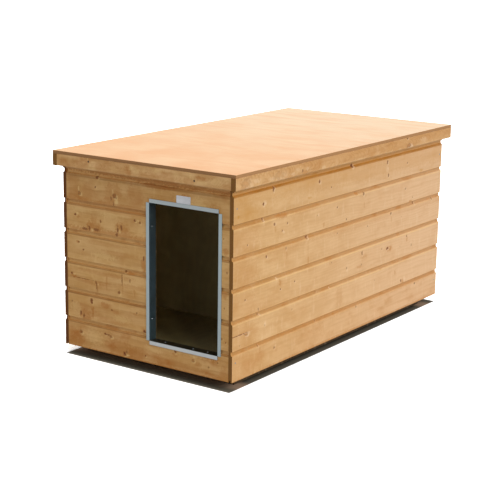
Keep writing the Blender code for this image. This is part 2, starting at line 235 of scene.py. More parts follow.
# The side course under the fascia: a paler recess, a painted light against the fascia's shade
COVERED_SPRUCE = replace(TREATED_SPRUCE, recess=srgb(222, 170, 100), stain_and_shade=srgb(200, 136, 34))
# The side's top course, under the fascia: its pale colour lays a painted highlight along the foot against the
# fascia's shade
TOP_SPRUCE = replace(TREATED_SPRUCE, glow_and_highlight=srgb(255, 200, 110))
ROUGH_SPRUCE = TimberTone(
    pale=srgb(150, 122, 82),
    honey=srgb(134, 106, 66),
    late=srgb(112, 82, 48),
    stain_and_shade=srgb(104, 74, 42),
    end=srgb(108, 80, 48),
    heart=srgb(84, 50, 28),
    amber=srgb(132, 86, 50),
    rough=0.78,
)
# A darker copy for the framing in the doorway, which stands in the kennel's shade: painted shade
INNER_SPRUCE = replace(
    ROUGH_SPRUCE,
    pale=srgb(92, 78, 54),
    honey=srgb(80, 66, 44),
    late=srgb(66, 50, 32),
    stain_and_shade=srgb(60, 46, 28),
)
# The bearers' colours, kept dark as painted shade, since they stand under the kennel
DARK_BEARER = TimberTone(
    pale=srgb(92, 74, 52),
    honey=srgb(72, 56, 38),
    late=srgb(54, 40, 26),
    stain_and_shade=srgb(46, 34, 22),
    end=srgb(58, 42, 26),
    heart=srgb(34, 24, 16),
    amber=srgb(48, 34, 22),
    rough=0.85,
)

# Marks that the photograph shows, as along, up, radius, dark and tall of a Knot
SEEN_MARKS: dict[str, dict[Mark, Rows]] = {
    "right_board_1": {
        Mark.PIN: (
            (-597, 99, 4, .5, 1.2), (-495, 66, 5, .5), (-217, 102, 3, .4), (78, 92, 4, .5),
            (560, 88, 6, .6, .7),
        ),
        Mark.STAIN_AND_SHADE: (
            (0, 7.5, 745, .5, .0025), (-712, 9, 8, .45, .6), (-661, 7, 6, .3, .6), (-587, 84, 2.5, .45, 4),
            (5, 12, 10, .5, .3), (-20, 17, 22, .25, .15), (424, 38, 200, .22, .012), (500, 34, 120, .2, .02),
            (-650, 60, 40, .3, .5), (-300, 50, 60, .25, .4), (-300, 101, 600, .32, .01), (0, 0, 900, .9, .0065),
        ),
        Mark.FLARE_AND_HIGHLIGHT: ((-486, 72, 7, .42, .8),),
    },
    "right_board_2": {
        Mark.PIN: (
            (-722, 52, 38, .85, .05), (-598, 102, 4, .5, .8), (-557, 52, 3, .3), (-382, 72, 3, .3),
            (-709, 13, 3, .35), (-217, 102, 4, .4, .8), (219, 58, 2.5, .3), (438, 12, 4, .8, 1.3),
        ),
        Mark.RING: ((-672, 47, 11, .8, .5),),
        Mark.STAIN_AND_SHADE: (
            (-640, 55, 22, .35, .5), (-60, 60, 16, .3, 1.6), (260, 98, 6, .4, .5), (382, 62, 4.5, .5, 1.4),
            (444, 8, 9, .85, .9),
        ),
        Mark.FLARE_AND_HIGHLIGHT: (
            (-588, 97, 6, .63, .6), (-555, 57, 8, .49), (-122, 98, 6, .63, .7), (466, 12, 9, .63, 1.4),
        ),
    },
    "right_board_3": {
        Mark.PIN: (
            (-743, 48, 1.5, .4), (-680, 60, 3.4, .85), (-599, 8, 3, .6, 1.5), (-461, 52, 3.2, .85),
            (-368, 62, 3, .85), (-113, 83, 3, .4), (-2, 39, 3.4, .6, 1.4), (110, 32, 3, .5, 1.2),
            (113, 78, 5, .65, 1.5), (268, 65, 3.4, .6), (313, 60, 9, 1, .55), (420, 48, 2.4, .4),
            (472, 82, 3, .6, 1.4), (515, 38, 3.4, .5, 1.6),
        ),
        Mark.STAIN_AND_SHADE: (
            (-467, 83, 4.5, .7, 1.8), (86, 28, 12, .5, .3), (120, 66, 14, .4, .5), (327, 60, 11, 1, .6),
            (316, 53, 5, .8, .7), (400, 104, 8, .6, .5), (472, 78, 4.5, .6, 2), (-620, 30, 60, .22, .4),
        ),
        Mark.FLARE_AND_HIGHLIGHT: ((-484, 96, 7, .7, .9),),
    },
    "right_board_4": {
        Mark.PIN: (
            (-554, 78, 4, .85, 1.2), (-430, 86, 4, .5, 1.5), (-290, 102, 6, .85), (-78, 79, 3, .7),
            (149, 68, 3, .75), (333, 89, 4.4, .85, 1.2), (420, 61, 2, .3), (523, 102, 6, .65, .8),
            (679, 96, 4, .5, 1.4),
        ),
        Mark.STAIN_AND_SHADE: (
            (-540, 60, 30, .3, .12), (-425, 66, 2.6, .5, 4), (-284, 60, 2.2, .3, 12), (-281, 21, 2.6, .75, 4),
            (336, 74, 2.6, .45, 4), (0, 94, 900, .26, .011),
        ),
    },
    "right_board_5": {
        Mark.PIN: (
            (-671, 29, 3.2, .7), (-576, 103, 4, .85, 1.4), (-506, 76, 5, .75), (-456, 43, 3.6, .95),
            (-423, 64, 3.2, .75), (-223, 59, 3, .35), (-84, 68, 3.2, .8), (-15, 11, 3.4, .7, 1.3),
            (110, 91, 4.5, .75, 1.6), (447, 61, 4.5, .5), (510, 17, 3, .6),
        ),
        Mark.STAIN_AND_SHADE: (
            (-502, 62, 3, .4, 3), (-473, 101, 24, .9, .25), (-180, 20, 4, .6, 1.5), (50, 103, 9, .9, .5),
            (116, 50, 2.6, .45, 3.5), (486, 3, 9, .85, .5), (-691, 26, 12, .55, .6), (-700, 70, 16, .4, .8),
            (-330, 96, 60, .35, .1),
        ),
        Mark.FLARE_AND_HIGHLIGHT: ((-448, 36, 8, .56, .8), (-216, 60, 6, .56), (441, 66, 5, .42)),
    },
    "right_board_6": {
        Mark.PIN: (
            (-578, 47, 4.4, 1, 1.2), (-516, 91, 5, .9, 1.6), (-214, 74, 4.4, .95, 1.5), (-130, 40, 2.8, .6),
            (19, 101, 7, 1), (290, 79, 4.4, .9, 1.5), (301, 25, 4, .75, 1.5), (455, 54, 3.4, .8),
        ),
        Mark.STAIN_AND_SHADE: (
            (-729, 27, 4.5, .9, .9), (-512, 78, 3, .5, 3), (-408, 76, 3, .45, 2), (-285, 24, 8, .6, .4),
            # The long bands at 88 and 92 mm up are a painted shadow under the fascia
            (569, 11, 10, .6, .4), (0, 92, 900, .34, .034), (-500, 88, 420, .28, .026), (200, 98, 120, .5, .04),
            (-600, 70, 60, .3, .12), (-160, 62, 90, .3, .08),
        ),
        Mark.FLARE_AND_HIGHLIGHT: ((-567, 48, 9, .7, 1.1), (290, 52, 12, .42, 1.2)),
    },
    "front_board_1": {
        Mark.PIN: (
            (-190, 73, 5, .95, .8), (-97, 14, 6, 1, 1.1), (2, 25, 3.4, .9), (138, 67, 5, .8, .9),
            (286, 38, 3.4, .6), (324, 62, 3, .5),
        ),
        Mark.RING: ((-308, 59, 7, .9, .9), (-162, 67, 6, .9, .9), (217, 50, 6, .9, .9)),
        Mark.STAIN_AND_SHADE: (
            (-311, 72, 2, .45, 5), (-341, 38, 24, .75, .7), (-355, 14, 18, .55, .8), (-372, 60, 14, .45, 1.4),
            (-166, 58, 9, .6, .5), (-72, 28, 7, .85, 2.6), (-50, 30, 20, .7, .9), (-29, 35, 16, .5, .8),
            (130, 58, 8, .5, .6), (228, 44, 11, .6, .5), (60, 30, 70, .35, .14), (290, 14, 30, .6, .2),
            (-130, 46, 26, .55, .9), (350, 30, 16, .5, 1.6), (180, 18, 40, .4, .3), (0, 1, 460, .85, .012),
        ),
        Mark.FLARE_AND_HIGHLIGHT: (
            (-302, 52, 6, .8, .6), (-83, 11, 8, 1, .5), (142, 60, 9, .7, .5), (222, 64, 8, .7, .5),
            # The long band at 67 mm up, under the doorway's sill, is a painted highlight against the sill's
            # shadow
            (-240, 50, 46, .5, .6), (40, 58, 40, .45, .4), (172, 67, 150, .55, .036),
        ),
        Mark.WISP: ((-307, 58, 4, .8, 1.3), (-176, 72, 9, .8, .35), (-88, 22, 6, .7, 1.3)),
    },
    "front_left_board_2": {
        Mark.PIN: ((-254, 76, 5, .95, 2.2), (-39, 67, 3.4, .7), (-350, 60, 3, .5), (-4, 3, 6, 1, 1)),
        Mark.STAIN_AND_SHADE: (
            (-252, 54, 4.5, .85, 5), (-246, 40, 8, .5, .5), (-199, 73, 14, .7, .5), (-146, 55, 12, .5, .4),
            (-295, 20, 18, .8, 1), (-52, 62, 9, .5, .3), (-200, 20, 60, .35, .12),
        ),
        Mark.FLARE_AND_HIGHLIGHT: ((-247, 70, 5, 1, .6), (-330, 40, 26, .5, .8), (-110, 30, 40, .5, .35)),
        Mark.WISP: ((-156, 58, 6, .8, .5), (-307, 23, 5.5, 1, 1.4), (-294, 10, 5.5, 1, 1.8)),
    },
    "front_left_board_3": {
        Mark.PIN: ((-70, 70, 3, .5, 2), (-121, 18, 5, .75, 1.4), (-93, 101, 5, .75, .8)),
        Mark.STAIN_AND_SHADE: (
            (-344, 49, 8, .9, .5), (-270, 36, 40, .45, .12), (-182, 63, 2.4, .6, 10), (-51, 34, 3, .6, 3),
            (-80, 99, 14, .7, .3), (-250, 78, 90, .45, .06), (-60, 50, 60, .4, .1),
        ),
        Mark.FLARE_AND_HIGHLIGHT: ((-338, 54, 7, .8, .5), (-222, 32, 5, .8, 1), (-101, 66, 3, .5, 7), (-115, 12, 6, .8, .8)),
        Mark.WISP: (
            (-351, 55, 6, 1, .9), (-232, 38, 3, .85, 1.6), (-228, 24, 3, .8, 5.5), (-298, 43, 64, .85, .022),
            (-107, 66, 2.6, .8, 9),
        ),
    },
    "front_left_board_4": {
        Mark.PIN: ((-314, 68, 4, .7, .8), (-291, 41, 3.4, .8)),
        Mark.STAIN_AND_SHADE: (
            (-322, 70, 6, .9, .5), (-8, 26, 4.5, .8, 5), (-14, 36, 8, .6, 1.6), (-150, 52, 50, .35, .12),
            (-230, 80, 60, .3, .1),
        ),
        Mark.FLARE_AND_HIGHLIGHT: ((-308, 72, 6, .9, .5), (-190, 30, 60, .6, .2)),
        Mark.WISP: ((-6, 50, 4.5, .9, 2.4),),
    },
    "front_left_board_5": {
        Mark.PIN: ((-329, 58, 5, .9, .8), (-207, 46, 4, .75, 1.2), (-47, 71, 4, .9), (-23, 66, 4, .9, 1.2)),
        Mark.STAIN_AND_SHADE: (
            (-320, 54, 7, .6, .6), (-214, 50, 9, .3, .6), (-252, 22, 24, .8, .8), (-245, 46, 10, .49, 2.2),
            (-116, 30, 20, .75, 1.4), (-88, 24, 14, .38, .4), (-190, 108, 260, .45, .03),
            (-190, 6, 260, .7, .045), (-190, 93, 260, .3, .02),
        ),
        Mark.FLARE_AND_HIGHLIGHT: (
            (-318, 62, 7, .9, .6), (-40, 66, 6, 1, .6), (-30, 72, 6, 1, .6), (-246, 7, 8, 1, .8),
            (-116, 21, 6, 1, 1.3), (-300, 78, 60, .4, .14), (-160, 74, 60, .4, .2),
        ),
        Mark.WISP: (
            (-284, 10, 15, .9, .36), (-262, 16, 6, .95, 2), (-226, 12, 15, .85, .4), (-127, 27, 5.5, .95, 2.4),
            (-108, 35, 5, .9, 2.2), (-131, 8, 7, .9, 1),
        ),
    },
    "front_board_6": {
        Mark.PIN: ((-222, 93, 6, .9, .7), (-230, 58, 3.4, .85), (-139, 33, 2.6, .9)),
        Mark.RING: ((-307, 27, 6, .95, .9), (-139, 35, 7, 1, 1.1)),
        Mark.STAIN_AND_SHADE: (
            (-322, 30, 8, .6, 1.2), (-305, 9, 22, .75, .5), (-280, 46, 18, .4, 1.2), (-172, 24, 18, .6, .5),
            (-160, 62, 24, .5, .9), (168, 78, 6, .75, .7), (130, 50, 14, .6, 2), (60, 40, 60, .3, .3),
            # The line at 111 mm up is a painted shadow under the fascia
            (300, 40, 16, .5, 1.6), (-60, 60, 24, .45, 1.4), (0, 111, 460, .95, .01), (0, 4, 460, .5, .016),
            (20, 98, 50, .8, .12), (-350, 70, 20, .4, 1.4),
        ),
        Mark.FLARE_AND_HIGHLIGHT: (
            (-299, 21, 7, .9, .6), (-311, 44, 4, .9, 2.6), (-131, 16, 9, 1, 1.5), (-148, 52, 5, .8, 1.6),
            (150, 60, 24, .55, .7), (240, 54, 30, .55, .9),
        ),
        Mark.WISP: ((-156, 26, 3, .9, 2.4), (-144, 4, 3, .8, 3)),
    },
    "front_board_7": {
        # These bands are a painted shadow under the fascia
        Mark.STAIN_AND_SHADE: ((60, 3, 46, .9, .12), (-200, 4, 30, .5, .2), (0, 1, 460, .6, .008)),
    },
    "right_board_7": {
        Mark.PIN: ((-330, 30, 5, .7), (240, 24, 4, .8)),
        # A band along the foot, a painted highlight against the fascia's shade
        Mark.FLARE_AND_HIGHLIGHT: ((0, 3, 900, .75, .008),),
    },
    "front_right_board_3": {
        Mark.PIN: ((352, 40, 3, .5),),
        Mark.STAIN_AND_SHADE: ((345, 90, 8, .6, 1),),
    },
    "front_right_board_5": {
        Mark.PIN: ((345, 60, 3, .5),),
        Mark.STAIN_AND_SHADE: ((350, 20, 8, .6, 1),),
    },
    "fascia_front": {
        Mark.STAIN_AND_SHADE: (
            (-268, 36, 18, .6, .5), (-290, 22, 20, .34, .6), (-190, 18, 20, .38, .8), (-150, 30, 26, .3, .5),
            (-58, 26, 9, .6, 1.4), (20, 12, 30, .38, .4), (110, 22, 20, .38, .8), (258, 30, 14, .6, .5),
            (205, 14, 16, .38, .7), (370, 14, 14, .3, .8), (-370, 14, 18, .38, .7),
        ),
        Mark.FLARE_AND_HIGHLIGHT: (
            (-243, 40, 3.4, .7, 1.8), (-232, 20, 6, .63, 1.2), (-262, 26, 10, .56, .3), (-216, 33, 10, .49, .3),
            (-215, 8, 12, .42, .6), (-120, 16, 22, .35, .5), (-40, 30, 9, .7, 1.1), (-20, 22, 20, .42, .6),
            (75, 33, 22, .49, .3), (222, 32, 8, .7, 1.2), (232, 26, 4, .63, 1.8), (270, 16, 26, .56, .3),
            (160, 30, 16, .35, .6), (330, 24, 26, .42, .5), (-330, 28, 16, .32, .8),
        ),
        Mark.NAIL: ((-239, 31, 3.8, 1), (238, 17, 3.8, 1)),
    },
    "fascia_right": {
        Mark.PIN: ((400, 40, 5, .9, .5),),
        Mark.RING: ((-722, 20, 22, .34, .7), (-520, 22, 26, .3, .5), (414, 11, 14, .9, .45)),
        Mark.STAIN_AND_SHADE: (
            (-741, 18, 16, .35, .9), (-600, 30, 22, .28, .4), (-452, 22, 16, .42, .5), (-480, 8, 16, .42, .4),
            (-360, 12, 10, .56, .6), (-385, 30, 3, .35, 1.5), (-205, 12, 12, .35, .8),
            (-100, 35, 620, .5, .022), (-60, 22, 24, .24, .6), (111, 21, 12, .28, 1.2), (206, 24, 5, .28, 3),
            (395, 8, 10, .49, .4), (480, 26, 20, .28, .5), (350, 22, 24, .21, .7), (640, 20, 30, .24, .5),
        ),
        Mark.FLARE_AND_HIGHLIGHT: (
            (-657, 20, 24, .45, .35), (-566, 14, 20, .4, .4), (-432, 12, 13, .5, .55), (-405, 24, 16, .3, .4),
            (-340, 18, 11, .45, .6), (-230, 10, 14, .4, .5), (160, 22, 16, .15, 1.2), (430, 14, 12, .5, .4),
            (540, 22, 30, .4, .4),
        ),
        Mark.WISP: ((-372, 17, 6, .9, 1.3),),
    },
}


@dataclass(frozen=True)
class Grain:
    """A noise that a finish is drawn with.

    Attributes:
        scale: Waves in a metre.
        detail: How many finer layers it has.
        rough: How strong these are.
        shift: What it adds to the finish's seed, which makes its pattern its own.
        stretch: What the three parts of the place are multiplied by; less than 1 draws it out.
        shown: Where the noise starts to show, and where it shows in full.
        share: How strongly it shows.
    """

    scale: float
    detail: float
    rough: float
    shift: float = 0.0
    stretch: tuple[float, float, float] = (1.0, 1.0, 1.0)
    shown: tuple[float, float] = (0.0, 1.0)
    share: float = 1.0

    def over(self, noise: "Wire", colour: Colour, times: float = 1.0) -> Coat:
        """Returns the coat that the noise lays on, with its share multiplied."""
        return noise.span(*self.shown) * (self.share * times), colour


def seen_knots(name: str) -> tuple[Knot, ...]:
    """Returns the marks that the photograph shows on a piece."""
    marks = SEEN_MARKS.get(name, {})
    return tuple(Knot(*row, kind=kind) for kind, rows in marks.items() for row in rows)


class Wire:
    """A node's output. A sum, product or the like with it adds a Math node to its sketch."""

    def __init__(self, sketch: "Sketch", socket: bpy.types.NodeSocket) -> None:
        """Keeps the sketch and the output."""
        self.sketch, self.socket = sketch, socket

    def __add__(self, other: Value) -> "Wire":
        """Returns the sum."""
        return self.sketch.maths("ADD", self, other)

    def __sub__(self, other: Value) -> "Wire":
        """Returns the difference."""
        return self.sketch.maths("SUBTRACT", self, other)

    def __mul__(self, other: Value) -> "Wire":
        """Returns the product."""
        return self.sketch.maths("MULTIPLY", self, other)

    def __truediv__(self, other: Value) -> "Wire":
        """Returns the quotient."""
        return self.sketch.maths("DIVIDE", self, other)

    def __abs__(self) -> "Wire":
        """Returns the value without its sign."""
        return self.sketch.maths("ABSOLUTE", self)

    def span(self, low: float, high: float, to_low: float = 0.0, to_high: float = 1.0) -> "Wire":
        """Maps the value smoothly from one span to another.

        Args:
            low: Start of the span it comes from.
            high: End of that span, which may lie below its start.
            to_low: Result at the start.
            to_high: Result at the end.

        Returns:
            The mapped value.
        """
        if high < low:
            low, high, to_low, to_high = high, low, to_high, to_low
        spans = {"Value": self, "From Min": low, "From Max": high, "To Min": to_low, "To Max": to_high}
        return self.sketch.take("Result", "MapRange", spans, interpolation_type="SMOOTHSTEP")

    def ridge(self, rise: tuple[float, float], fall: tuple[float, float]) -> "Wire":
        """Returns a ridge that rises over one span of the value and falls over another."""
        return self.span(*rise) * self.span(*fall)

    def coated(self, *coats: Coat) -> "Wire":
        """Lays other colours over this one.

        Args:
            coats: The share and the colour of each, in order.

        Returns:
            The mixed colour.
        """
        colour = self
        for share, over in coats:
            colour = self.sketch.mix(share, colour, over)
        return colour


class Sketch:
    """Builds one node tree in short steps. A value handed to one is a number, a tuple or a wire."""

    def __init__(self, tree: bpy.types.NodeTree) -> None:
        """Starts on an empty tree."""
        self.tree = tree
        tree.nodes.clear()

    def node(self, kind: str, inputs: Inputs | None = None, **settings: object) -> bpy.types.Node:
        """Adds a node.

        Args:
            kind: The node's type name without its "ShaderNode" start.
            inputs: Values by socket name or number.
            settings: Attributes of the node.

        Returns:
            The node.
        """
        made = self.tree.nodes.new("ShaderNode" + kind)
        for name, value in settings.items():
            setattr(made, name, value)
        for name, value in (inputs or {}).items():
            self.feed(made.inputs[name], value)
        return made

    def take(self, output: Union[int, str], kind: str, inputs: Inputs, **settings: object) -> Wire:
        """Adds a node, as node does, and returns its output of the name or number given."""
        return Wire(self, self.node(kind, inputs, **settings).outputs[output])

    def feed(self, socket: bpy.types.NodeSocket, value: Value) -> None:
        """Joins a socket to a wire, or sets its number.

        Args:
            socket: A node's input.
            value: What it takes.
        """
        if isinstance(value, Wire):
            self.tree.links.new(value.socket, socket)
        else:
            socket.default_value = value

    def maths(self, operation: str, *values: Value, clamp: bool = False) -> Wire:
        """Returns the result of one Math node."""
        return self.take(0, "Math", dict(enumerate(values)), operation=operation, use_clamp=clamp)

    def vector(self, operation: str, *values: Value) -> Wire:
        """Returns the result of one Vector Math node, which is a number where a length is asked for."""
        output = "Value" if operation == "LENGTH" else "Vector"
        return self.take(output, "VectorMath", dict(enumerate(values)), operation=operation)

    def noise(self, grain: Grain, place: Sequence[Value], seed: float = 0.0) -> Wire:
        """Returns a four-dimensional noise between 0 and 1.

        Args:
            grain: The kind of noise.
            place: Where it is read, as three values.
            seed: A number that picks another pattern.

        Returns:
            The noise's value.
        """
        spots = [part if times == 1.0 else part * times for part, times in zip(place, grain.stretch)]
        inputs = {"Vector": self.join(*spots), "Scale": grain.scale, "Detail": grain.detail}
        look = {"Roughness": grain.rough, "W": seed + grain.shift}
        return self.take("Fac", "TexNoise", {**inputs, **look}, noise_dimensions="4D")

    def join(self, x: Value, y: Value, z: Value) -> Wire:
        """Returns a vector made of three values."""
        return self.take(0, "CombineXYZ", {0: x, 1: y, 2: z})

    def split(self, vector: Value) -> list[Wire]:
        """Returns the three parts of a vector."""
        return [Wire(self, part) for part in self.node("SeparateXYZ", {0: vector}).outputs]

    def place(self) -> tuple[list[Wire], list[Wire]]:
        """Returns the parts of the place on the piece and those of the way its face looks."""
        given = self.node("TexCoord").outputs
        return self.split(Wire(self, given["Object"])), self.split(Wire(self, given["Normal"]))

    def lookers(self) -> tuple[Wire, Wire]:
        """Tells apart the rays that look at the piece.

        Returns:
            1 for the camera's own rays, and 1 for those that metal or glass sends on.
        """
        path = self.node("LightPath").outputs
        names = ("Is Camera Ray", "Is Glossy Ray", "Is Transmission Ray")
        eye, glossy, through = (Wire(self, path[name]) for name in names)
        return eye, self.maths("MAXIMUM", glossy, through)

    def mix(self, share: Value, first: Value, second: Value) -> Wire:
        """Returns a mix of two colours: the first one at a share of 0."""
        return self.take(2, "Mix", {0: share, 6: first, 7: second}, data_type="RGBA")

    def surface(
        self, colour: Value, rough: Value, height: Value, depth: float, metallic: float = 0.0,
        specular: float = 0.5,
    ) -> None:
        """Adds the surface shader and the output.

        Args:
            colour: The base colour.
            rough: The roughness.
            height: The height that the surface follows, from 0 to 1.
            depth: What a height of 1 stands for, in metres.
            metallic: 1 for bare metal, 0 for the rest.
            specular: The shader's specular level.
        """
        normal = self.take("Normal", "Bump", {"Height": height, "Distance": depth, "Strength": 1.0})
        look = {"Base Color": colour, "Roughness": rough, "Metallic": metallic, "Normal": normal}
        shader = self.take(0, "BsdfPrincipled", {**look, "Specular IOR Level": specular})
        self.node("OutputMaterial", {"Surface": shader})


class KnotGroup:
    """The node group that draws one knot; every board uses it once for each of its knots."""

    NAME = "kennel_knot"
    VECTORS = ("Place", "Centre", "Squeeze")
    # Where the pale crescent's middle lies beside the heart, in shares of the knot's size: pale wood, drawn on
    # one side only as a painted highlight
    GLOW_SHIFT = (0.75, -0.6, 0.0)
    BEND = -0.8
    BEND_FADE = 0.16
    HEART_SPAN = (1.2, 0.5)
    RIM_RIDGE = ((0.45, 0.9), (1.5, 0.95))
    HALO_SPAN = (2.0, 0.8)
    HOLE_SPAN = (1.15, 0.7)

    def __init__(self) -> None:
        """Builds the group."""
        tree = bpy.data.node_groups.new(self.NAME, "ShaderNodeTree")
        for name in self.VECTORS:
            tree.interface.new_socket(name, in_out="INPUT", socket_type="NodeSocketVector")
        tree.interface.new_socket("Ragged", in_out="INPUT", socket_type="NodeSocketFloat")
        sketch = Sketch(tree)
        outputs = tree.nodes.new("NodeGroupInput").outputs
        place, centre, squeeze, ragged = (Wire(sketch, output) for output in outputs[:4])
        away = sketch.vector("SUBTRACT", place, centre)
        scaled = sketch.vector("MULTIPLY", away, squeeze)
        smooth = sketch.vector("LENGTH", scaled)
        reach = smooth + ragged
        heart = reach.span(*self.HEART_SPAN)
        beside = sketch.vector("LENGTH", sketch.vector("SUBTRACT", scaled, self.GLOW_SHIFT))
        halo_and_highlight = (beside + ragged).span(*self.HALO_SPAN) * sketch.maths("SUBTRACT", 1.0, heart)
        bend = sketch.maths("DIVIDE", self.BEND, reach * reach * self.BEND_FADE + 1.0)
        drawn = {
            "Heart": heart,
            "Rim": reach.ridge(*self.RIM_RIDGE),
            "Halo": halo_and_highlight,
            "Whole": sketch.maths("MAXIMUM", heart, halo_and_highlight),
            "Hole": smooth.span(*self.HOLE_SPAN),
            "Shift": sketch.split(away)[1] * bend,
        }
        for name in drawn:
            tree.interface.new_socket(name, in_out="OUTPUT", socket_type="NodeSocketFloat")
        out = tree.nodes.new("NodeGroupOutput").inputs
        for name, wire in drawn.items():
            sketch.feed(out[name], wire)


class Finish:
    """A finish that is drawn with nodes."""

    def build(self, name: str) -> bpy.types.Material:
        """Makes the material and draws the finish on it.

        Args:
            name: Its name.

        Returns:
            The material.
        """
        material = bpy.data.materials.new(name)
        material.use_nodes = True
        self.draw(Sketch(material.node_tree))
        return material

    def draw(self, sketch: Sketch) -> None:
        """Adds the finish's own nodes to a sketch."""
        raise NotImplementedError


@dataclass(frozen=True)
class Lip:
    """The line along the lower edge of a board's recess, dark on most boards and pale, as a painted highlight,
    on the side walls.

    Attributes:
        colour: Its colour.
        low: Where it starts over the flat face's top, in millimetres.
        high: Where it ends.
        share: How strongly it shows.
    """

    colour: Colour
    low: float
    high: float
    share: float = 1.0

    BLUR = 1.0
    WEAR_SPAN = (0.25, 0.75)
    WORN = 0.6

    def coat(self, up: Wire, face: float, pool: Wire) -> Coat:
        """Draws the line.

        Args:
            up: The height over the board's foot.
            face: Height of the flat face's top.
            pool: The noise that wears it.

        Returns:
            Its share and its colour.
        """
        low, high = (face + (end - self.BLUR) * MM for end in (self.low, self.high))
        low_end, high_end = (face + (end + self.BLUR) * MM for end in (self.low, self.high))
        worn = pool.span(*self.WEAR_SPAN, self.share, self.share * self.WORN)
        return up.span(low, low_end) * up.span(high_end, high) * worn, self.colour


@dataclass(frozen=True)
class Timber(Finish):
    """The finish of one piece of softwood, cut from its own place in a trunk.

    Attributes:
        tone: Its colours.
        axis: The way the grain runs.
        foot: Height of the piece's foot in metres.
        seed: Picks the pattern.
        knots: The knots on its face, with the bands of painted shade and highlight drawn like them.
        face: Height over the foot where the flat face ends and the joint's recess starts, or None.
        depth: How much of the tone is stained deeper, from 0 to 1.
        figure: How strongly the rings and streaks show.
        lip: The line along the recess, or None.
        recess: How strongly the recess takes its own colour.
        ends: Where the end grain starts and stops across the board, or None where it isn't seen.
        butts: Where the board starts and ends along its grain, where a line marks it, or None.
        butt_tint: The colour of that line, or None for the end grain's; a pale one makes it a painted
            highlight.
        swirl: How far the rings wander, in metres.
        far_sheen_share: How much paler its far end is, a painted sheen, from 0 to 1.
        flame: How far the rings slope along the board, where they show as pointed arcs.
        ripple: How strongly the pale ripple across the grain shows.
        foot_highlight_share: How much paler the board's lowest edge is, a painted highlight.
    """

    tone: TimberTone
    axis: Axis
    foot: float
    seed: int
    knots: tuple[Knot, ...] = ()
    face: float | None = None
    depth: float = 0.0
    figure: float = 1.0
    lip: Lip | None = None
    recess: float = 0.5
    ends: tuple[float, float] | None = None
    butts: tuple[float, float] | None = None
    butt_tint: Colour | None = None
    swirl: float = 0.085
    far_sheen_share: float = 0.0
    flame: float = 0.0
    ripple: float = 0.30
    foot_highlight_share: float = 0.0

    # The noises
    WAVE = Grain(2.1, 3, 0.45, stretch=(1.0, 3.0, 3.0))
    WANDER = Grain(17, 2, 0.5, 17.3, share=0.030)
    FIBRE = Grain(620, 3, 0.6, 3.1, (0.02, 1.0, 1.0), (0.50, 0.80), 0.12)
    STRAND = Grain(230, 2, 0.55, 4.9, (0.05, 1.0, 1.0), (0.48, 0.76), 0.20)
    STREAK = Grain(85, 2, 0.5, 5.7, (0.06, 1.0, 1.0), (0.46, 0.74), 0.34)
    CLOUD = Grain(9.0, 4, 0.6, 8.3, (1.0, 2.2, 1.0), (0.30, 0.70))
    POOL = Grain(11.0, 4, 0.6, 11.9, (1.0, 1.6, 1.0), (0.48, 0.76), 0.20)
    RIPPLE = Grain(62, 3, 0.6, 14.5, (1.0, 0.22, 1.0), (0.52, 0.78))
    SAWN = Grain(150, 3, 0.65, 2.2, shown=(0.35, 0.75), share=0.40)
    KNOT_EDGE = Grain(330, 2, 0.6)
    KNOT_EDGE_SPAN = (0.0, 1.0, -0.5, 0.5)
    KNOT_FORM = Grain(105, 2, 0.5, 6.4)
    KNOT_FORM_SPAN = (0.2, 0.8, -0.55, 0.55)

    # Where the trunk's middle may lie, its rings and its flames, in metres or as shares
    PITH_UP = (-0.05, 0.16)
    PITH_ACROSS = (0.05, 0.11)
    TRUNK_FACE = 0.386
    RING_SPREAD = (0.8, 1.25)
    LATE_RIDGE = ((0.35, 0.9), (1.0, 0.93))
    FLAME_MIDDLE = 0.022
    FLAME_BEND = 25.0
    FLAME_START = 1.0
    FLAME_FADE = (0.38, 0.60, 0.22, 1.0)
    # How the painted sheen grows along the board, in metres
    FAR_SHEEN_SPAN = (-0.75, 0.75)
    DEEP_POOLS = 0.35

    # The joint, the line at each end of a board and the end grain
    RECESS_SPAN = (-0.0004, 0.0030)
    SOAKED_SPAN = (0.50, 0.66)
    SOAKED_SHARE = 0.45
    # Where the painted highlight along a board's foot fades out, in metres over the foot
    FOOT_SPAN = (0.0065, 0.0015)
    BUTT_SPAN = (0.0035, 0.001)
    BUTT_SHARE = 0.5
    END_SPAN = (0.6, 0.8)
    END_RINGS_SPAN = (0.2, 0.9)
    END_RINGS_SHARE = 0.4
    INNER_RIM_SPAN = (0.0035, 0.001)
    OUTER_RIM_SPAN = (-0.003, -0.0005)
    RIM_SHARE = 0.65

    # How strongly the marks show, and what makes the surface rough and uneven
    # This share also lays the painted shadow bands, with the stains
    STAIN_AND_SHADE_SHARE = 0.75
    # This share also lays the painted highlight bands, with the pale wood round knots
    HALO_AND_HIGHLIGHT_SHARE = 0.60
    AMBER_SHARE = 0.80
    FIBRE_ROUGH = 0.22
    MEAN_FIBRE_ROUGH = 0.10
    END_ROUGH = 0.18
    FIBRE_HEIGHT = 0.55
    LATE_HEIGHT = -0.35
    HEART_HEIGHT = -0.7
    RELIEF = 0.00022
    SHEEN = 0.28

    def directions(self, sketch: Sketch) -> tuple[Wire, Wire, Wire, Wire]:
        """Reads the board's own directions.

        Args:
            sketch: The material's nodes.

        Returns:
            The place along the grain, the height over the foot, the place across, and 1 on end grain.
        """
        parts, facing = sketch.place()
        end = abs(facing[self.axis.value]).span(*self.END_SPAN)
        if self.axis is Axis.Z:
            return parts[2], parts[0], parts[1], end
        return parts[self.axis.value], parts[2] - self.foot, parts[1 - self.axis.value], end

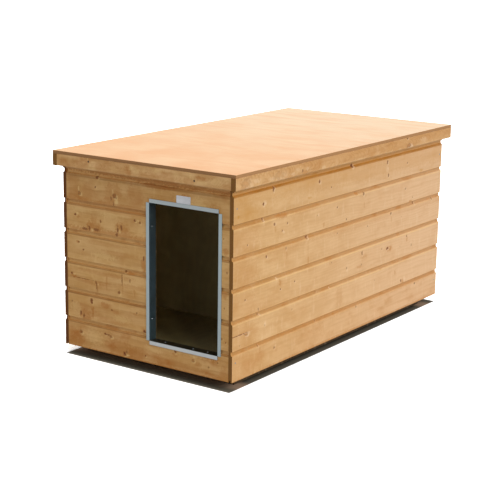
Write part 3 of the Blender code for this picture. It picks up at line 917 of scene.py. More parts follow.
    def add_knots(self, sketch: Sketch, along: Wire, up: Wire) -> dict[str, Value]:
        """Adds the knots.

        Args:
            sketch: The material's nodes.
            along: The place along the grain.
            up: The height over the foot.

        Returns:
            How strongly each mark shows, and the level that the grain is drawn at.
        """
        marks: dict[str, Value] = dict.fromkeys(("stain_and_shade", "halo_and_highlight", "amber", "heart", "nail"), 0.0)
        marks["level"] = up
        if not self.knots:
            return marks
        place = (along, up, 0.0)
        edge = sketch.noise(self.KNOT_EDGE, place, self.seed).span(*self.KNOT_EDGE_SPAN)
        form = sketch.noise(self.KNOT_FORM, place, self.seed).span(*self.KNOT_FORM_SPAN)
        shared = {"Place": sketch.join(*place), "Ragged": edge + form}
        for knot in self.knots:
            squeeze = 1 / (knot.radius * MM)
            own = {
                "Centre": (knot.along * MM, knot.up * MM, 0.0),
                "Squeeze": (squeeze, squeeze / knot.tall, 0.0),
            }
            drawn = sketch.node("Group", node_tree=bpy.data.node_groups[KnotGroup.NAME])
            for name, value in {**shared, **own}.items():
                sketch.feed(drawn.inputs[name], value)
            for mark, part, share in knot.kind.value:
                shown = Wire(sketch, drawn.outputs[part]) * (knot.dark * share)
                marks[mark] = sketch.maths("MAXIMUM", marks[mark], shown)
            if knot.bends_grain():
                marks["level"] += Wire(sketch, drawn.outputs["Shift"])
        return marks

    def joint_coats(self, up: Wire, pool: Wire) -> list[Coat]:
        """Draws the joint's recess, the stains in it, the painted highlight along the foot and the lip.

        Args:
            up: The height over the foot.
            pool: The noise that stains it.

        Returns:
            The coats' shares and colours.
        """
        start, end = self.RECESS_SPAN
        inside = up.span(self.face + start, self.face + end)
        coats = [
            # The recess's own colour: on the front and under the fascias a pale one, a painted light against
            # the recess's shade
            (inside * self.recess, self.tone.recess),
            (pool.span(*self.SOAKED_SPAN) * inside * self.SOAKED_SHARE, self.tone.stain_and_shade),
            # Painted highlight along the board's foot
            (up.span(*self.FOOT_SPAN) * self.foot_highlight_share, self.tone.foot_highlight),
        ]
        return [*coats, self.lip.coat(up, self.face, pool)] if self.lip else coats

    def end_grain(self, sketch: Sketch, year: Wire, sawn: Wire, across: Wire) -> Wire:
        """Draws the end grain.

        Args:
            sketch: The material's nodes.
            year: The place in a year ring, from 0 to 1.
            sawn: The noise that the saw left.
            across: The place across the board.

        Returns:
            Its colour.
        """
        heart = self.tone.heart
        rings = year.span(*self.END_RINGS_SPAN) * self.END_RINGS_SHARE
        ends = sketch.mix(rings, self.tone.end, heart).coated(self.SAWN.over(sawn, heart))
        if not self.ends:
            return ends
        inner, outer = (
            abs(across).span(face + start, face + stop)
            for face, (start, stop) in zip(self.ends, (self.INNER_RIM_SPAN, self.OUTER_RIM_SPAN))
        )
        return ends.coated((sketch.maths("MAXIMUM", inner, outer) * self.RIM_SHARE, heart))

    def draw(self, sketch: Sketch) -> None:
        """Draws the wood: its rings, its fibres, its knots, its joint and its ends.

        Args:
            sketch: The material's nodes.
        """
        chance, tone, seed = random.Random(self.seed), self.tone, self.seed
        along, up, across, end = self.directions(sketch)
        marks = self.add_knots(sketch, along, up)
        level = marks["level"]

        straight, bent = (along, up, across), (along, level, across)
        wave = (sketch.noise(self.WAVE, straight, seed) - 0.5) * self.swirl
        pith_up, pith_across = chance.uniform(*self.PITH_UP), chance.uniform(*self.PITH_ACROSS)
        if self.flame:
            middle = level - self.FLAME_MIDDLE
            arc = middle * middle * self.FLAME_BEND
            wander = (sketch.noise(self.WANDER, bent, seed) - 0.5) * self.WANDER.share
            trunk = along * self.flame + arc + (wave + self.FLAME_START) + wander
        else:
            side = abs(across) + (pith_across - self.TRUNK_FACE)
            trunk = sketch.vector("LENGTH", sketch.join(level - pith_up + wave, side, 0.0))
        year = sketch.maths("FRACT", trunk / (tone.ring_size * chance.uniform(*self.RING_SPREAD)))
        late = year.ridge(*self.LATE_RIDGE)

        fibre, strand, streak = (
            sketch.noise(grain, bent, seed) for grain in (self.FIBRE, self.STRAND, self.STREAK)
        )
        cloud, pool, ripple = (
            sketch.noise(grain, straight, seed) for grain in (self.CLOUD, self.POOL, self.RIPPLE)
        )
        sawn = sketch.noise(self.SAWN, (across, up, along), seed)

        colour = sketch.mix(cloud.span(*self.CLOUD.shown), tone.pale, tone.honey)
        # Painted sheen: paler towards the far end
        if self.far_sheen_share:
            colour = colour.coated((along.span(*self.FAR_SHEEN_SPAN, 0.0, self.far_sheen_share), tone.far_sheen))
        if self.flame:
            late = late * cloud.span(*self.FLAME_FADE)
        pooled = pool.span(*self.POOL.shown) * (self.POOL.share + self.depth)
        colour = colour.coated(
            (late * (self.figure * tone.ring_share), tone.late),
            self.STREAK.over(streak, tone.late, self.figure),
            self.STRAND.over(strand, tone.late, self.figure),
            self.FIBRE.over(fibre, tone.stain_and_shade),
            self.RIPPLE.over(ripple, tone.glow_and_highlight, self.ripple),
            (sketch.maths("ADD", pooled, self.depth * self.DEEP_POOLS, clamp=True), tone.stain_and_shade),
        )
        if self.face:
            colour = colour.coated(*self.joint_coats(up, pool))
        if self.butts:
            wide, narrow = self.BUTT_SPAN
            first, last = self.butts
            lines = along.span(first + wide, first + narrow), along.span(last - wide, last - narrow)
            tint = self.butt_tint or tone.end
            colour = colour.coated((sketch.maths("MAXIMUM", *lines) * self.BUTT_SHARE, tint))
        colour = colour.coated(
            # Stains, and the painted shadow bands
            (marks["stain_and_shade"] * self.STAIN_AND_SHADE_SHARE, tone.stain_and_shade),
            # Pale wood round knots, and the painted highlight bands
            (marks["halo_and_highlight"] * self.HALO_AND_HIGHLIGHT_SHARE, tone.glow_and_highlight),
            (marks["amber"] * self.AMBER_SHARE, tone.amber),
            (marks["heart"], tone.heart),
            (marks["nail"], tone.nail),
            (end, self.end_grain(sketch, year, sawn, across)),
        )
        rough = fibre * self.FIBRE_ROUGH + (tone.rough - self.MEAN_FIBRE_ROUGH)
        rough = sketch.maths("ADD", rough, end * self.END_ROUGH, clamp=True)
        height = fibre * self.FIBRE_HEIGHT + late * self.LATE_HEIGHT + marks["heart"] * self.HEART_HEIGHT
        sketch.surface(colour, rough, height, self.RELIEF, specular=self.SHEEN)


@dataclass(frozen=True)
class SheetTimber(Finish):
    """The finish of a plywood sheet: a broad, faint figure on its faces and its veneers on the edges.

    Attributes:
        pale: The face veneer where it is lightest.
        warm: The face veneer where it is deepest.
        edge_pale: An edge veneer cut along its grain.
        edge_dark: An edge veneer cut across its grain.
        foot: Where the sheet's thickness starts, in metres.
        thick: The sheet's thickness in metres.
        seed: Picks the pattern.
        rough: Roughness of the face.
        lay: How the sheet lies.
        far_sheen: The painted sheen that the face turns to towards the back, or None.
        doorway_shade: Where, askew to the doorway, a painted shade starts and ends to darken the sheet, and how
            far, or None.
    """

    pale: Colour
    warm: Colour
    edge_pale: Colour
    edge_dark: Colour
    foot: float
    thick: float
    seed: int
    rough: float = 0.72
    lay: Lay = Lay.LENGTHWISE
    far_sheen: Colour | None = None
    doorway_shade: tuple[float, float, float] | None = None

    # The noises
    WAVE = Grain(3.4, 3, 0.5, stretch=(1.0, 0.55, 1.0))
    CLOUD = Grain(5.0, 4, 0.6, 4.4, shown=(0.35, 0.65))
    FIBRE = Grain(480, 2, 0.6, 7.1, (1.0, 0.03, 1.0), (0.5, 0.8), 0.12)
    FLAME = Grain(22, 3, 0.55, 12.6, (1.0, 0.22, 1.0), (0.44, 0.70), 0.50)
    SPREAD = Grain(24, 3, 0.6, 9.2, (1.0, 1.0, 40.0), (0.35, 0.7))
    SPREAD_DARK = (0.30, 0.62)

    # The face
    LINES_PER_METRE = 26.0
    LINES_WAVE = 9.0
    FIGURE_RIDGE = ((0.2, 0.85), (1.0, 0.9))
    FIGURE_SHARE = 0.14
    # How the painted sheen grows towards the back, in metres, and how far it goes
    FAR_SHEEN_SPAN = (-0.95, 0.95, 0.0, 0.95)
    # The painted shade inside the doorway, and how askew its edge lies
    DOORWAY_SHADE = srgb(66, 40, 22)
    DOORWAY_SHADE_SKEW = 1.15

    # The edges
    VENEERS = 5
    VENEER_DARK = 0.22
    SEAM_SPAN = (0.40, 0.49)
    SEAM_DARK = 0.20
    LONG_SIDE_SPAN = (0.5, 0.8)
    LONG_SIDE_PALE = -0.32
    EDGE_SPAN = (0.8, 0.5)

    # What makes the surface rough and uneven
    FIBRE_ROUGH = 0.16
    MEAN_FIBRE_ROUGH = 0.08
    EDGE_ROUGH = 0.2
    FIBRE_HEIGHT = 0.5
    FIGURE_HEIGHT = -0.2
    RELIEF = 0.00018

    def edges(self, sketch: Sketch, place: list[Wire], facing: list[Wire]) -> Wire:
        """Draws the veneers on the sheet's edges.

        Args:
            sketch: The material's nodes.
            place: The place across the grain, along it and through the sheet.
            facing: The way the face looks.

        Returns:
            Their colour.
        """
        level = abs((place[2] - self.foot) / (self.thick / self.VENEERS))
        layer = sketch.maths("MODULO", sketch.maths("FLOOR", level), 2.0)
        seam = abs(sketch.maths("FRACT", level) - 0.5).span(*self.SEAM_SPAN)
        spread = sketch.noise(self.SPREAD, place, self.seed).span(*self.SPREAD.shown, *self.SPREAD_DARK)
        long_side = abs(facing[0]).span(*self.LONG_SIDE_SPAN) * self.LONG_SIDE_PALE
        dark = layer * self.VENEER_DARK + seam * self.SEAM_DARK + spread
        return sketch.mix(sketch.maths("ADD", dark, long_side, clamp=True), self.edge_pale, self.edge_dark)

    def draw(self, sketch: Sketch) -> None:
        """Draws the face's figure and the edges.

        Args:
            sketch: The material's nodes.
        """
        parts, facing = sketch.place()
        place = [parts[number] for number in self.lay.value]
        wave, cloud, fibre, flame = (
            sketch.noise(grain, place, self.seed) for grain in (self.WAVE, self.CLOUD, self.FIBRE, self.FLAME)
        )
        lines = sketch.maths("FRACT", wave * self.LINES_WAVE + place[0] * self.LINES_PER_METRE)
        figure = lines.ridge(*self.FIGURE_RIDGE)
        colour = sketch.mix(cloud.span(*self.CLOUD.shown), self.pale, self.warm)
        # Painted sheen: paler towards the back
        if self.far_sheen:
            colour = colour.coated((parts[1].span(*self.FAR_SHEEN_SPAN), self.far_sheen))
        colour = colour.coated(self.FLAME.over(flame, self.warm))
        # Painted shade: darker away from where light falls in through the doorway
        if self.doorway_shade:
            start, end, share = self.doorway_shade
            askew = parts[0] + parts[1] * self.DOORWAY_SHADE_SKEW
            colour = colour.coated((askew.span(start, end, 0.0, share), self.DOORWAY_SHADE))
        on_edge = abs(facing[self.lay.value[2]]).span(*self.EDGE_SPAN)
        colour = colour.coated(
            (figure * self.FIGURE_SHARE, self.warm),
            self.FIBRE.over(fibre, self.edge_pale),
            (on_edge, self.edges(sketch, place, facing)),
        )
        rough = fibre * self.FIBRE_ROUGH + on_edge * self.EDGE_ROUGH
        rough = sketch.maths("ADD", rough, self.rough - self.MEAN_FIBRE_ROUGH, clamp=True)
        height = fibre * self.FIBRE_HEIGHT + figure * self.FIGURE_HEIGHT
        sketch.surface(colour, rough, height, self.RELIEF)


@dataclass(frozen=True)
class DrawnMetal(Finish):
    """The finish of drawn or plated metal, with streaks along its length and dull blotches.

    Attributes:
        colour: The metal where it is clean.
        dull: The metal where it has weathered.
        axis: The way the streaks run.
        rough: Its middle roughness.
        blotch: Blotches in a metre.
        metallic: How much of it shows as bare metal.
        spots: How strongly the blotches show.
        relief: Depth of the streaks in metres.
        flank_reflection: The metal on the flanges that turn into the doorway, tinted as a painted reflection,
            or None where it is the same.
    """

    colour: Colour
    dull: Colour
    axis: Axis
    rough: float = 0.42
    blotch: float = 30.0
    metallic: float = 1.0
    spots: float = 0.45
    relief: float = 0.00012
    flank_reflection: Colour | None = None

    DRAWN_OUT = 0.025
    STREAK = Grain(900, 3, 0.6, 1.3)
    BROAD = Grain(180, 2, 0.5, 4.2, shown=(0.4, 0.7), share=0.55)
    WORN_SPAN = (0.35, 0.68)
    # Where a face turns from the front to a flange with the painted reflection
    FLANK_REFLECTION_SPAN = (0.8, 0.5)
    STREAK_ROUGH = 0.22
    WORN_ROUGH = 0.16
    MEAN_ROUGH = 0.19
    STREAK_HEIGHT = 0.6
    WORN_HEIGHT = 0.4

    def draw(self, sketch: Sketch) -> None:
        """Draws the streaks and the blotches.

        Args:
            sketch: The material's nodes.
        """
        place, facing = sketch.place()
        drawn = list(place)
        drawn[self.axis.value] *= self.DRAWN_OUT
        streak, broad = sketch.noise(self.STREAK, drawn), sketch.noise(self.BROAD, drawn)
        worn = sketch.noise(Grain(self.blotch, 4, 0.62, 7.7), place)
        colour = sketch.mix(worn.span(*self.WORN_SPAN) * self.spots, self.colour, self.dull)
        colour = colour.coated(self.BROAD.over(broad, self.dull))
        # Painted reflection on the flanges inside the doorway
        if self.flank_reflection:
            colour = colour.coated((abs(facing[1]).span(*self.FLANK_REFLECTION_SPAN), self.flank_reflection))
        rough = streak * self.STREAK_ROUGH + worn * self.WORN_ROUGH
        rough = sketch.maths("ADD", rough, self.rough - self.MEAN_ROUGH, clamp=True)
        height = streak * self.STREAK_HEIGHT + worn * self.WORN_HEIGHT
        sketch.surface(colour, rough, height, self.relief, metallic=self.metallic)


@dataclass(frozen=True)
class StudioFloor(Finish):
    """The pale floor; the eye sees it white, and a painted shadow makes it dark where the kennel keeps the
    light off it.

    Attributes:
        half: Half the shade's width and length in metres.
        tone: The floor's colour for the light it throws back.
        speck: What its speckles turn it to.
        seen: How much brighter the eye sees it.
        mirrored: How bright metal sees it.
        shade: Its colour under the kennel's rim.
        shade_front: Its colour farther under the front wall, lighter, as painted light thrown back from the
            wood.
        shade_side: Its colour farther under a side wall.
        soft: Width of the shade's edge in metres.
    """

    half: tuple[float, float]
    tone: Colour = srgb(168, 166, 162)
    speck: Colour = srgb(200, 198, 194)
    seen: float = 2.4
    mirrored: float = 0.95
    shade: Colour = srgb(115, 109, 96)
    shade_front: Colour = srgb(184, 156, 132)
    shade_side: Colour = srgb(46, 44, 38)
    soft: float = 0.010

    # Where the painted shadow turns from its rim colour to its colours farther under the front wall and a side
    # wall, and where the front's colour takes over, in metres
    FRONT_SPAN = (0.690, 0.740)
    SIDE_SPAN = (0.334, 0.370)
    CORNER_SPAN = (0.620, 0.670)
    SPECKLE = Grain(35, 3, 0.6, 2.0, share=0.06)

    def draw(self, sketch: Sketch) -> None:
        """Draws the floor.

        Args:
            sketch: The material's nodes.
        """
        place, _ = sketch.place()
        eye, mirror = sketch.lookers()
        across, along = abs(place[0]), abs(place[1])
        # The painted shadow's mask: 1 inside the kennel's footprint, fading over its soft edge
        blur = self.soft / 2
        inside = [part.span(half + blur, half - blur) for part, half in zip((across, along), self.half)]
        speckle = sketch.noise(self.SPECKLE, place) * self.SPECKLE.share
        bright = sketch.mix(speckle, self.tone, self.speck).coated(
            (mirror, (self.mirrored, self.mirrored, self.mirrored, 1.0)),
            (eye, (self.seen, self.seen, self.seen, 1.0)),
        )
        # Painted shadow colours, laid over the bright floor inside the mask
        front = sketch.mix(along.span(*self.FRONT_SPAN), self.shade_front, self.shade)
        side = sketch.mix(across.span(*self.SIDE_SPAN), self.shade_side, self.shade)
        shade = side.coated((along.span(*self.CORNER_SPAN), front))
        colour = bright.coated((inside[0] * inside[1], shade))
        sketch.node("OutputMaterial", {"Surface": sketch.take(0, "BsdfDiffuse", {"Color": colour})})


JAMB_METAL = DrawnMetal(
    srgb(149, 161, 164), srgb(139, 150, 154), Axis.Z, rough=0.38, metallic=0.98, spots=0.3, relief=0.00004,
    # Bluish painted reflection on the jambs' and the lintel's flanges
    flank_reflection=srgb(128, 163, 182),
)
LINTEL_METAL = replace(JAMB_METAL, colour=srgb(151, 159, 161), dull=srgb(141, 148, 151), axis=Axis.X)
SILL_METAL = replace(
    # Dark painted reflection on the sill's flange
    JAMB_METAL, colour=srgb(172, 177, 178), dull=srgb(160, 165, 166), axis=Axis.X, flank_reflection=srgb(91, 83, 66),
)
EDGING_METALS = {
    "door_angle_left": JAMB_METAL,
    "door_angle_right": JAMB_METAL,
    "door_angle_top": LINTEL_METAL,
    "door_angle_bottom": SILL_METAL,
}
ZINC = DrawnMetal(srgb(190, 190, 184), srgb(140, 138, 130), Axis.Y, rough=0.38, blotch=90, spots=1.0)
SCREW_ZINC = DrawnMetal(srgb(168, 172, 178), srgb(96, 100, 106), Axis.X, rough=0.32, blotch=400)
# A darker copy for the screws in the doorway, which stand in its shade: painted shade
SHADED_SCREW_ZINC = replace(SCREW_ZINC, colour=srgb(158, 166, 171), dull=srgb(90, 94, 100))
PLATE_FACE = DrawnMetal(
    srgb(210, 211, 216), srgb(196, 198, 204), Axis.X, rough=0.45, blotch=120, metallic=0.35,
)


def dress(node: bpy.types.Object, material: bpy.types.Material, bevel: float = 0.0) -> None:
    """Gives a node one finish, and eases its edges.

    Args:
        node: The object.
        material: Its finish.
        bevel: Width of the eased edge in metres, or 0.
    """
    node.data.materials.clear()
    node.data.materials.append(material)
    if bevel:
        weld = node.modifiers.new("weld", "WELD")
        weld.merge_threshold = WELD_GAP
        ease = node.modifiers.new("ease", "BEVEL")
        ease.width, ease.segments, ease.limit_method = bevel, EASED_SEGMENTS, "ANGLE"
        ease.angle_limit = EASED_ANGLE


def add_mesh(name: str, mesh: bmesh.types.BMesh, material: bpy.types.Material) -> bpy.types.Object:
    """Turns a finished mesh into an object of the scene.

    Args:
        name: Its name.
        mesh: The mesh, in world coordinates.
        material: Its finish.

    Returns:
        The object.
    """
    data = bpy.data.meshes.new(name)
    mesh.to_mesh(data)
    mesh.free()
    data.materials.append(material)
    made = bpy.data.objects.new(name, data)
    bpy.context.scene.collection.objects.link(made)
    return made


def add_piece(
    name: str, mesh: bmesh.types.BMesh, material: bpy.types.Material, body: str,
) -> bpy.types.Object:
    """Turns a finished mesh into a smooth piece that rides on a body.

    Args:
        name: Its name.
        mesh: The mesh, in world coordinates.
        material: Its finish.
        body: The body that it rides on.

    Returns:
        The piece.
    """
    bmesh.ops.recalc_face_normals(mesh, faces=mesh.faces)
    piece = add_mesh(name, mesh, material)
    for face in piece.data.polygons:
        face.use_smooth = True
    piece.data.set_sharp_from_angle(angle=SHARP_ANGLE)
    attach(piece, body)
    return piece


@dataclass
class Cladding:
    """The shiplap boards of the four walls.

    Attributes:
        first_foot: Height of the lowest board's foot in metres.
        cover: Height that each board covers in metres.
        face: Height of the flat face over the foot in metres.
        courses: Boards in a wall.
    """

    first_foot: float
    cover: float = 0.112
    face: float = 0.0954
    courses: int = 7

    FRONT_DEPTHS = (0.50, 0.28, 0.13, 0.02, 0.0, 0.28, 0.42)
    # How strongly each front course's recess takes its pale colour, a painted light against the recess's shade
    FRONT_RECESSES = (0.50, 0.62, 0.88, 0.76, 0.30, 0.85, 0.0)
    FRONT_LIPS = (0.75, 0.85, 0.70, 0.70, 0.65, 0.40, 0.0)
    FRONT_FIGURE = 1.15
    # How strongly the front boards' feet take the painted highlight
    FRONT_FOOT = 0.15
    # A pale band along the top of the front boards' recess, on the lowest courses: a painted highlight against
    # the recess's shade
    FRONT_CREST = Knot(0, 109.5, 460, 0.5, 0.009, Mark.FLARE_AND_HIGHLIGHT)
    CRESTED_COURSES = 4
    SHADED_LIP = Lip(srgb(146, 92, 34), -5.0, 3.2)
    UNDER_LIP = Lip(srgb(146, 92, 34), -8.5, -0.5)
    SIDE_DEPTHS = (0.25, 0.0, 0.02, 0.02, 0.02, 0.03, 0.0)
    # How strongly each side course's lip shows: the painted highlight, and on the course under the fascia a
    # darker line
    SIDE_LIPS = (0.22, 0.55, 0.65, 0.42, 0.50, 0.95, 0.0)
    SIDE_FIGURE = 0.45
    # How strongly the side boards' feet take the painted highlight
    SIDE_FOOT = 0.28
    SIDE_RECESS = 0.5
    # How strongly the side boards turn to the painted sheen at their far end
    SIDE_FAR_SHEEN = 0.95
    # A pale line along the side boards' recess, a painted highlight where the lip catches the light
    LIP_HIGHLIGHT = Lip(srgb(244, 200, 134), -5.4, -0.4)
    # A wider, darker line along the recess of the side course under the fascia
    COVERED_LIP = Lip(srgb(168, 106, 26), -3.6, 6.0)
    # How strongly that course's recess takes its paler colour, a painted light against the fascia's shade
    COVERED_RECESS_LIGHT = 0.75
    SOILED_END = Knot(0, 56, 66, 0.34, 0.9, Mark.STAIN_AND_SHADE)
    HIDDEN_BUTT = 0.01
    SEED, SEED_STEP = 17, 7
    LEAST_KNOTS = 2
    KNOTS_PER_METRE = 6
    KNOT_SPANS = ((10, 92), (2.4, 6.5), (0.4, 0.95), (0.8, 1.6))

    def scattered(self, name: str, low: float, high: float) -> tuple[Knot, ...]:
        """Draws a board's own knots where the photograph doesn't show it.

        Args:
            name: The board's name, which picks the pattern.
            low: Where the board starts, in metres.
            high: Where it ends, in metres.

        Returns:
            The knots.
        """
        chance = random.Random(name)
        spans = ((low / MM, high / MM), *self.KNOT_SPANS)
        count = self.LEAST_KNOTS + int((high - low) * self.KNOTS_PER_METRE)
        return tuple(Knot(*(chance.uniform(*span) for span in spans)) for _ in range(count))

    def shaded(self, board: Timber, course: int, low: Vector, high: Vector) -> Timber:
        """Finishes a board of the front or the back wall, in the shaded copy of the colours, a painted shade.

        Args:
            board: The board's plain finish.
            course: Its course, counted from 1.
            low: The board's lowest corner.
            high: Its highest corner.

        Returns:
            The finish.
        """
        under = course == self.courses - 1
        lip = self.UNDER_LIP if under else self.SHADED_LIP
        return replace(
            board,
            tone=UNDER_SPRUCE if under else SHADED_SPRUCE,
            knots=(*board.knots, self.FRONT_CREST) if course <= self.CRESTED_COURSES else board.knots,
            depth=self.FRONT_DEPTHS[course - 1],
            figure=self.FRONT_FIGURE,
            lip=replace(lip, share=self.FRONT_LIPS[course - 1]),
            recess=self.FRONT_RECESSES[course - 1],
            butts=(low.x, high.x),
            foot_highlight_share=self.FRONT_FOOT if course > 1 else 0.0,
        )

    def lit(self, board: Timber, course: int, low: Vector, high: Vector) -> Timber:
        """Finishes a board of a side wall.

        Args:
            board: The board's plain finish.
            course: Its course, counted from 1.
            low: The board's lowest corner.
            high: Its highest corner.

        Returns:
            The finish.
        """
        near, far = sorted((abs(low.x), abs(high.x)))
        covered = course == self.courses - 1
        # The two courses under the fascia take copies with painted light: a paler recess, and a pale band along
        # the top course's foot
        tones = {self.courses - 1: COVERED_SPRUCE, self.courses: TOP_SPRUCE}
        # The side's lip is the painted highlight, and a darker line under the fascia
        lip = self.COVERED_LIP if covered else self.LIP_HIGHLIGHT
        return replace(
            board,
            tone=tones.get(course, TREATED_SPRUCE) if low.x > 0 else LEFT_SPRUCE,
            knots=(*board.knots, replace(self.SOILED_END, along=low.y / MM)),
            depth=self.SIDE_DEPTHS[course - 1],
            figure=self.SIDE_FIGURE,
            lip=replace(lip, share=self.SIDE_LIPS[course - 1]),
            recess=self.COVERED_RECESS_LIGHT if covered else self.SIDE_RECESS,
            ends=(near, far),
            butts=(low.y - self.HIDDEN_BUTT, high.y),
            # The line at the back end is pale, a painted highlight along the board's arris
            butt_tint=TREATED_SPRUCE.glow_and_highlight,
            far_sheen_share=self.SIDE_FAR_SHEEN,
            foot_highlight_share=self.SIDE_FOOT if course > 1 else 0.0,
        )

    def build(self, nodes: Nodes) -> None:
        """Dresses every board that the frame holds.

        Args:
            nodes: The frame's nodes by name.
        """
        boards = [name for name in sorted(nodes) if "_board_" in name]
        for index, name in enumerate(boards):
            course = int(name.rsplit("_", 1)[1])
            side = name.startswith(("left_", "right_"))
            axis = Axis.Y if side else Axis.X
            low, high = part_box(name)
            foot, seed = self.first_foot + self.cover * (course - 1), self.SEED + self.SEED_STEP * index
            knots = seen_knots(name) or self.scattered(name, low[axis.value], high[axis.value])
            board = Timber(TREATED_SPRUCE, axis, foot, seed, knots, self.face)
            finish = (self.lit if side else self.shaded)(board, course, low, high)
            dress(nodes[name], finish.build("spruce_" + name))
        LOG.info("cladding: %d boards", len(boards))


@dataclass
class RoofLid:
    """The plywood roof and its four fascias."""

    edge_ease: float = 0.0012
    swirl: float = 0.10
    flame: float = 0.22

    HIDDEN_KNOTS = (Knot(-300, 22, 5, 0.8), Knot(120, 30, 4, 0.7), Knot(330, 12, 5, 0.8))
    SHEET_SEED = 5
    SEED, SEED_STEP = 301, 11

    def build(self, nodes: Nodes) -> None:
        """Dresses the lid's pieces.

        Args:
            nodes: The frame's nodes by name.
        """
        low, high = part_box("roof_sheet")
        # The roof sheet turns paler towards the back, a painted sheen
        sheet = SheetTimber(
            srgb(246, 203, 159), srgb(241, 186, 138), srgb(188, 139, 92), srgb(138, 95, 54),
            low.z, high.z - low.z, self.SHEET_SEED, lay=Lay.CROSSWISE, far_sheen=srgb(246, 221, 188),
        )
        dress(nodes["roof_sheet"], sheet.build("plywood_roof"), self.edge_ease)
        for index, name in enumerate(n for n in sorted(nodes) if n.startswith("fascia_")):
            low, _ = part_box(name)
            if name.endswith(("front", "back")):
                tone, axis, depth, figure, ripple = SHADED_FASCIA, Axis.X, 0.10, 1.1, 0.3
            else:
                tone, axis, depth, figure, ripple = LIT_FASCIA, Axis.Y, 0.20, 0.9, 0.2
            knots, seed = seen_knots(name) or self.HIDDEN_KNOTS, self.SEED + self.SEED_STEP * index
            timber = Timber(
                tone, axis, low.z, seed, knots, depth=depth, figure=figure, ripple=ripple,
                swirl=self.swirl, flame=self.flame,
            )
            dress(nodes[name], timber.build("spruce_" + name))
        LOG.info("roof: plywood sheet and fascias")


@dataclass
class Frame:
    """The posts, rails and studs inside the walls, the bearers, the floor and the partition."""

    ease: float = 0.0015
    sheet_ease: float = 0.0008

    EDGES = (srgb(120, 92, 56), srgb(84, 60, 36))
    RAILS = {"door_sill_rail": Axis.X, "door_head_rail": Axis.X}
    UPRIGHTS = ("corner_post", "door_stud", "partition_stud")
    SEED, BEARER_SEED, SEED_STEP = 501, 701, 13
    SHEET_SEED = 41

    def build(self, nodes: Nodes) -> None:
        """Dresses the inner timber.

        Args:
            nodes: The frame's nodes by name.
        """
        uprights = [name for name in sorted(nodes) if name.startswith(self.UPRIGHTS)]
        for index, name in enumerate([*self.RAILS, *uprights]):
            low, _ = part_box(name)
            # The doorway's framing takes the darker copy, a painted shade
            tone = INNER_SPRUCE if name.startswith("door_") else ROUGH_SPRUCE
            seed = self.SEED + self.SEED_STEP * index
            timber = Timber(tone, self.RAILS.get(name, Axis.Z), low.z, seed)
            dress(nodes[name], timber.build("frame_" + name), self.ease)
        for index, name in enumerate(n for n in sorted(nodes) if n.startswith("bearer_")):
            # The bearers take the dark colours, a painted shade
            timber = Timber(DARK_BEARER, Axis.Y, 0.0, self.BEARER_SEED + self.SEED_STEP * index)
            dress(nodes[name], timber.build("timber_" + name), self.ease)
        # The floor and the partition; the last numbers set their painted shade
        for name, lay, pale, warm, doorway_shade in (
            ("floor_sheet", Lay.LENGTHWISE, srgb(180, 167, 116), srgb(158, 146, 97), (-0.65, -0.54, 0.52)),
            ("partition_panel", Lay.UPRIGHT, srgb(194, 182, 126), srgb(172, 158, 106), (-0.63, -0.46, 0.36)),
        ):
            low, high = (corner[lay.value[2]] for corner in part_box(name))
            sheet = SheetTimber(
                pale, warm, *self.EDGES, low, high - low, self.SHEET_SEED, lay=lay, doorway_shade=doorway_shade,
            )
            dress(nodes[name], sheet.build("plywood_" + name), self.sheet_ease)
        LOG.info("frame: posts, rails, bearers, floor and partition")


